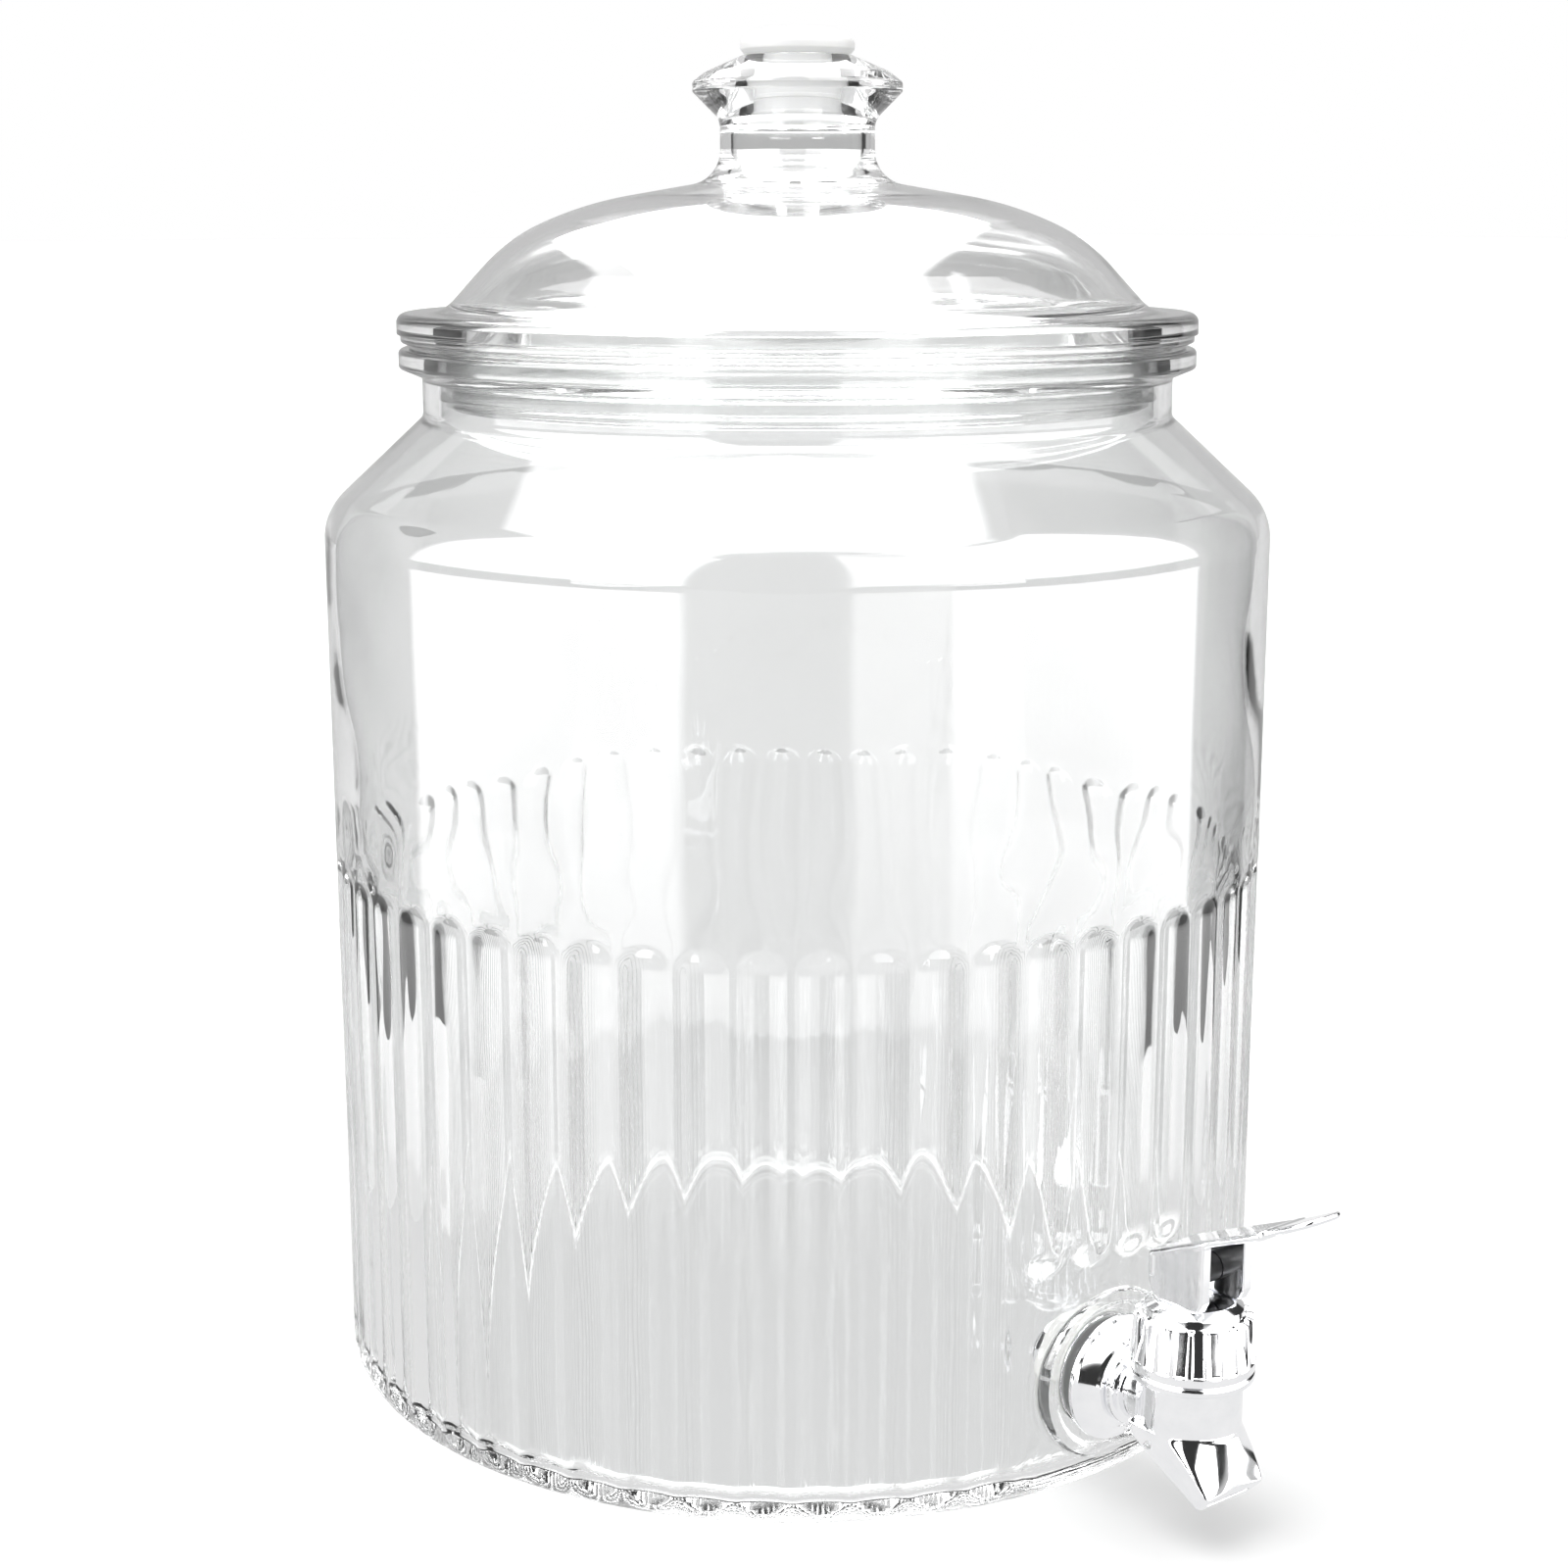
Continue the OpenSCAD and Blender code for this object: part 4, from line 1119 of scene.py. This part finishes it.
def softboxes(tree, way, right, height):
    """Tall boxes beside the camera with their mirror images in the table, and one overhead."""
    left_box, right_box = band(tree, right, -102, -27, 2.0), band(tree, right, 36, 108, 1.5)
    dim_box = calc(tree, "MULTIPLY", band(tree, right, 13, 36, 1.5), 0.45)
    boxes = calc(tree, "ADD", calc(tree, "ADD", left_box, right_box), dim_box)
    tall = band(tree, calc(tree, "ABSOLUTE", height), 4.5, 60, 0.8)
    # the mirror images fade towards the viewer's feet
    faded = spread(tree, height, 0.3, 1.0, -19.0, -9.0)
    side_boxes = calc(tree, "MULTIPLY", calc(tree, "MULTIPLY", boxes, tall), faded)
    # the overhead box, as places on a level plane: across, and away from the camera
    steep = calc(tree, "MAXIMUM", way[2], 0.001)
    across, away = calc(tree, "DIVIDE", way[0], steep), calc(tree, "DIVIDE", way[1], steep)
    overhead = calc(tree, "MULTIPLY", band(tree, across, -0.75, 0.45, 0.03),
                    band(tree, away, -0.3, 1.7, 0.05))
    return calc(tree, "MAXIMUM", side_boxes, overhead)


def dark_room(tree, right, height):
    """The room behind the camera, the low skyline past the table, and a dark far corner."""
    behind = calc(tree, "MULTIPLY", band(tree, right, -25, 11, 2.0),
                  band(tree, height, -24, 66, 3.0))
    skyline = calc(tree, "MULTIPLY", band(tree, right, -60, 70, 4.0),
                   band(tree, height, -6.5, 4.5, 0.8))
    corner = band(tree, right, 112, 140, 2.0)
    return calc(tree, "MAXIMUM", calc(tree, "MAXIMUM", behind, skyline), corner)


def studio_world():
    """White to the camera, light grey behind the clear walls, and softbox shapes in reflections."""
    world = bpy.data.worlds.new("studio")
    bpy.context.scene.world = world
    world.use_nodes = True
    tree = world.node_tree
    tree.nodes.clear()

    where = add(tree, "ShaderNodeTexCoord").outputs["Generated"]
    turned_by = (0, 0, -CAMERA_TURN)
    placed = add(tree, "ShaderNodeMapping", {"Vector": where, "Rotation": turned_by}).outputs[0]
    way = add(tree, "ShaderNodeSeparateXYZ", {0: placed}).outputs
    # degrees to the right of the camera, as seen from the jar, and above or below level
    towards = calc(tree, "MULTIPLY", way[1], -1.0)
    right = calc(tree, "MULTIPLY", calc(tree, "ARCTAN2", way[0], towards), 180 / math.pi)
    height = calc(tree, "MULTIPLY", calc(tree, "ARCSINE", way[2]), 180 / math.pi)

    softbox = softboxes(tree, way, right, height)
    darker = calc(tree, "MULTIPLY", dark_room(tree, right, height), ROOM_DARKER)
    plain = calc(tree, "SUBTRACT", PLAIN_WALL, darker)
    glossy = calc(tree, "ADD", plain, calc(tree, "MULTIPLY", softbox, SOFTBOX))
    glossy = blend(tree, ramp(tree, height, -19.0, -23.0), glossy, TABLE_SHEEN)
    seen = calc(tree, "ADD", WALL_BEHIND, calc(tree, "MULTIPLY", softbox, SOFTBOX_BEHIND))
    path = add(tree, "ShaderNodeLightPath").outputs
    level = blend(tree, path["Is Glossy Ray"], seen, glossy)
    level = blend(tree, path["Is Diffuse Ray"], level, 1.0)
    level = blend(tree, path["Is Camera Ray"], level, 1.0)
    light = add(tree, "ShaderNodeBackground", {"Color": WHITE, "Strength": level})
    add(tree, "ShaderNodeOutputWorld", {"Surface": light.outputs[0]})


def sheet(name, corners, material, hidden_from, height=0.0):
    """A flat sheet of the studio, which some kinds of ray don't see."""
    mesh = bpy.data.meshes.new(name)
    mesh.from_pydata([list(corner) for corner in corners], [], [list(range(len(corners)))])
    mesh.materials.append(material)
    made = bpy.data.objects.new(name, mesh)
    made.location.z = height
    bpy.context.scene.collection.objects.link(made)
    for ray in hidden_from:
        setattr(made, "visible_" + ray, False)


def glowing(tree, brightness):
    return add(tree, "ShaderNodeEmission", {"Color": WHITE, "Strength": brightness}).outputs[0]


def floor():
    """White paper, greyer to bounced light, that glows for clear parts under and round the jar.

    Light isn't traced through the clear walls to the table under them, so the glow stands in for it.
    """
    mat, tree = new_material("floor_look")
    path = add(tree, "ShaderNodeLightPath").outputs
    paper = spread(tree, noise(tree, 3.0, 2.0), 0.992, 1.0)
    bounced = 0.56
    shade = blend(tree, path["Is Camera Ray"], bounced, paper)
    colour = add(tree, "ShaderNodeCombineColor", {0: shade, 1: shade, 2: shade}).outputs[0]
    surface = add(tree, "ShaderNodeBsdfPrincipled", {"Base Color": colour, "Roughness": 0.6,
                                                     "Specular IOR Level": 0.2})
    where = add(tree, "ShaderNodeNewGeometry").outputs["Position"]
    reach = add(tree, "ShaderNodeVectorMath", {0: where}, operation="LENGTH").outputs["Value"]
    glow_ends, glow_full = 0.3, 0.12
    near = ramp(tree, reach, glow_ends, glow_full)
    share = calc(tree, "MULTIPLY", near, path["Is Transmission Ray"])
    lit = add(tree, "ShaderNodeMixShader", {0: share, 1: surface.outputs[0],
                                            2: glowing(tree, TABLE_UNDER)})
    finish_material(tree, lit.outputs[0])
    size = 30.0
    corners = [(-size, -size, 0), (size, -size, 0), (size, size, 0), (-size, size, 0)]
    sheet("floor", corners, mat, ["glossy"], -0.0004)


def near_table():
    """The bright table close round the jar, for reflections only."""
    mat, tree = new_material("near_table_look")
    finish_material(tree, glowing(tree, TABLE_SHEEN))
    radius, above_floor, sides = 0.27, -0.0003, 64
    ring = [(radius * math.cos(t), radius * math.sin(t), above_floor)
            for t in np.arange(sides) * TURN / sides]
    sheet("near_table", ring, mat, ["camera", "diffuse", "transmission", "shadow"])


def dark_side(name, side):
    """A near-black sheet: painted shade of the dark room past the table's edge, which the flutes pick
    up, left out inside the picture.
    """
    distance, across, tall, almost_black = 0.4, 0.7, 0.9, 0.02
    mat, tree = new_material(name + "_look")
    place = add(tree, "ShaderNodeTexCoord").outputs["Camera"]
    place = add(tree, "ShaderNodeSeparateXYZ", {0: place}).outputs
    aside = calc(tree, "ABSOLUTE", calc(tree, "DIVIDE", place[0], place[2]))
    outside = calc(tree, "GREATER_THAN", aside, PICTURE_HALF_WIDTH)
    clear = add(tree, "ShaderNodeBsdfTransparent")
    shown = add(tree, "ShaderNodeMixShader", {0: outside, 1: clear.outputs[0],
                                              2: glowing(tree, almost_black)})
    finish_material(tree, shown.outputs[0])
    centre, up = CAMERA_RIGHT * side * distance, Vector((0, 0, tall))
    half = (CAMERA_RIGHT * side).cross(Vector((0, 0, 1))).normalized() * across / 2
    corners = [centre - half, centre + half, centre + half + up, centre - half + up]
    sheet(name, corners, mat, ["camera", "shadow", "diffuse", "glossy"])


def key_lamp():
    """A soft lamp high to the camera's left, for the shadow and the soft parts."""
    data = bpy.data.lights.new("key", "AREA")
    data.shape = "RECTANGLE"
    data.size = data.size_y = 1.2
    data.energy = 9
    lamp = bpy.data.objects.new("key", data)
    lamp.location = CAMERA_BACK * 0.5 - CAMERA_RIGHT * 0.5 + Vector((0, 0, 1.5))
    aim = Vector((0, 0, 0.1)) - lamp.location
    lamp.rotation_euler = aim.to_track_quat("-Z", "Y").to_euler()
    for ray in ("glossy", "camera", "transmission"):
        setattr(lamp, "visible_" + ray, False)
    bpy.context.scene.collection.objects.link(lamp)


def studio():
    studio_world()
    floor()
    dark_side("dark_left", -1)
    dark_side("dark_right", 1)
    near_table()
    key_lamp()


def camera():
    """The photograph's view: 38 degrees round from the tap, 12 degrees down."""
    data = bpy.data.cameras.new("camera")
    data.lens = 60.75
    data.sensor_width = 36
    data.shift_x = -0.0086
    obj = bpy.data.objects.new("camera", data)
    away, height, down = 0.678, 0.2964, math.radians(12.1)
    obj.location = CAMERA_BACK * away + Vector((0, 0, height))
    look = -CAMERA_BACK * math.cos(down) - Vector((0, 0, math.sin(down)))
    obj.rotation_euler = look.to_track_quat("-Z", "Y").to_euler()
    bpy.context.scene.collection.objects.link(obj)
    bpy.context.scene.camera = obj


def light_paths():
    """Clear walls one behind another need many bounces."""
    scene = bpy.context.scene
    scene.cycles.max_bounces = 40
    scene.cycles.transmission_bounces = 32
    scene.cycles.glossy_bounces = 20
    scene.cycles.transparent_max_bounces = 24
    scene.cycles.caustics_reflective = False
    scene.cycles.caustics_refractive = False
    scene.view_settings.view_transform = "Standard"


build_jar()
build_lid()
build_seal()
build_stopper()
build_tap_body()
build_flange()
build_washers()
build_nut()
build_cap()
squeeze(*build_cup())
squeeze(*build_spring())
build_lever()
dress_cad_parts()
studio()
camera()
light_paths()
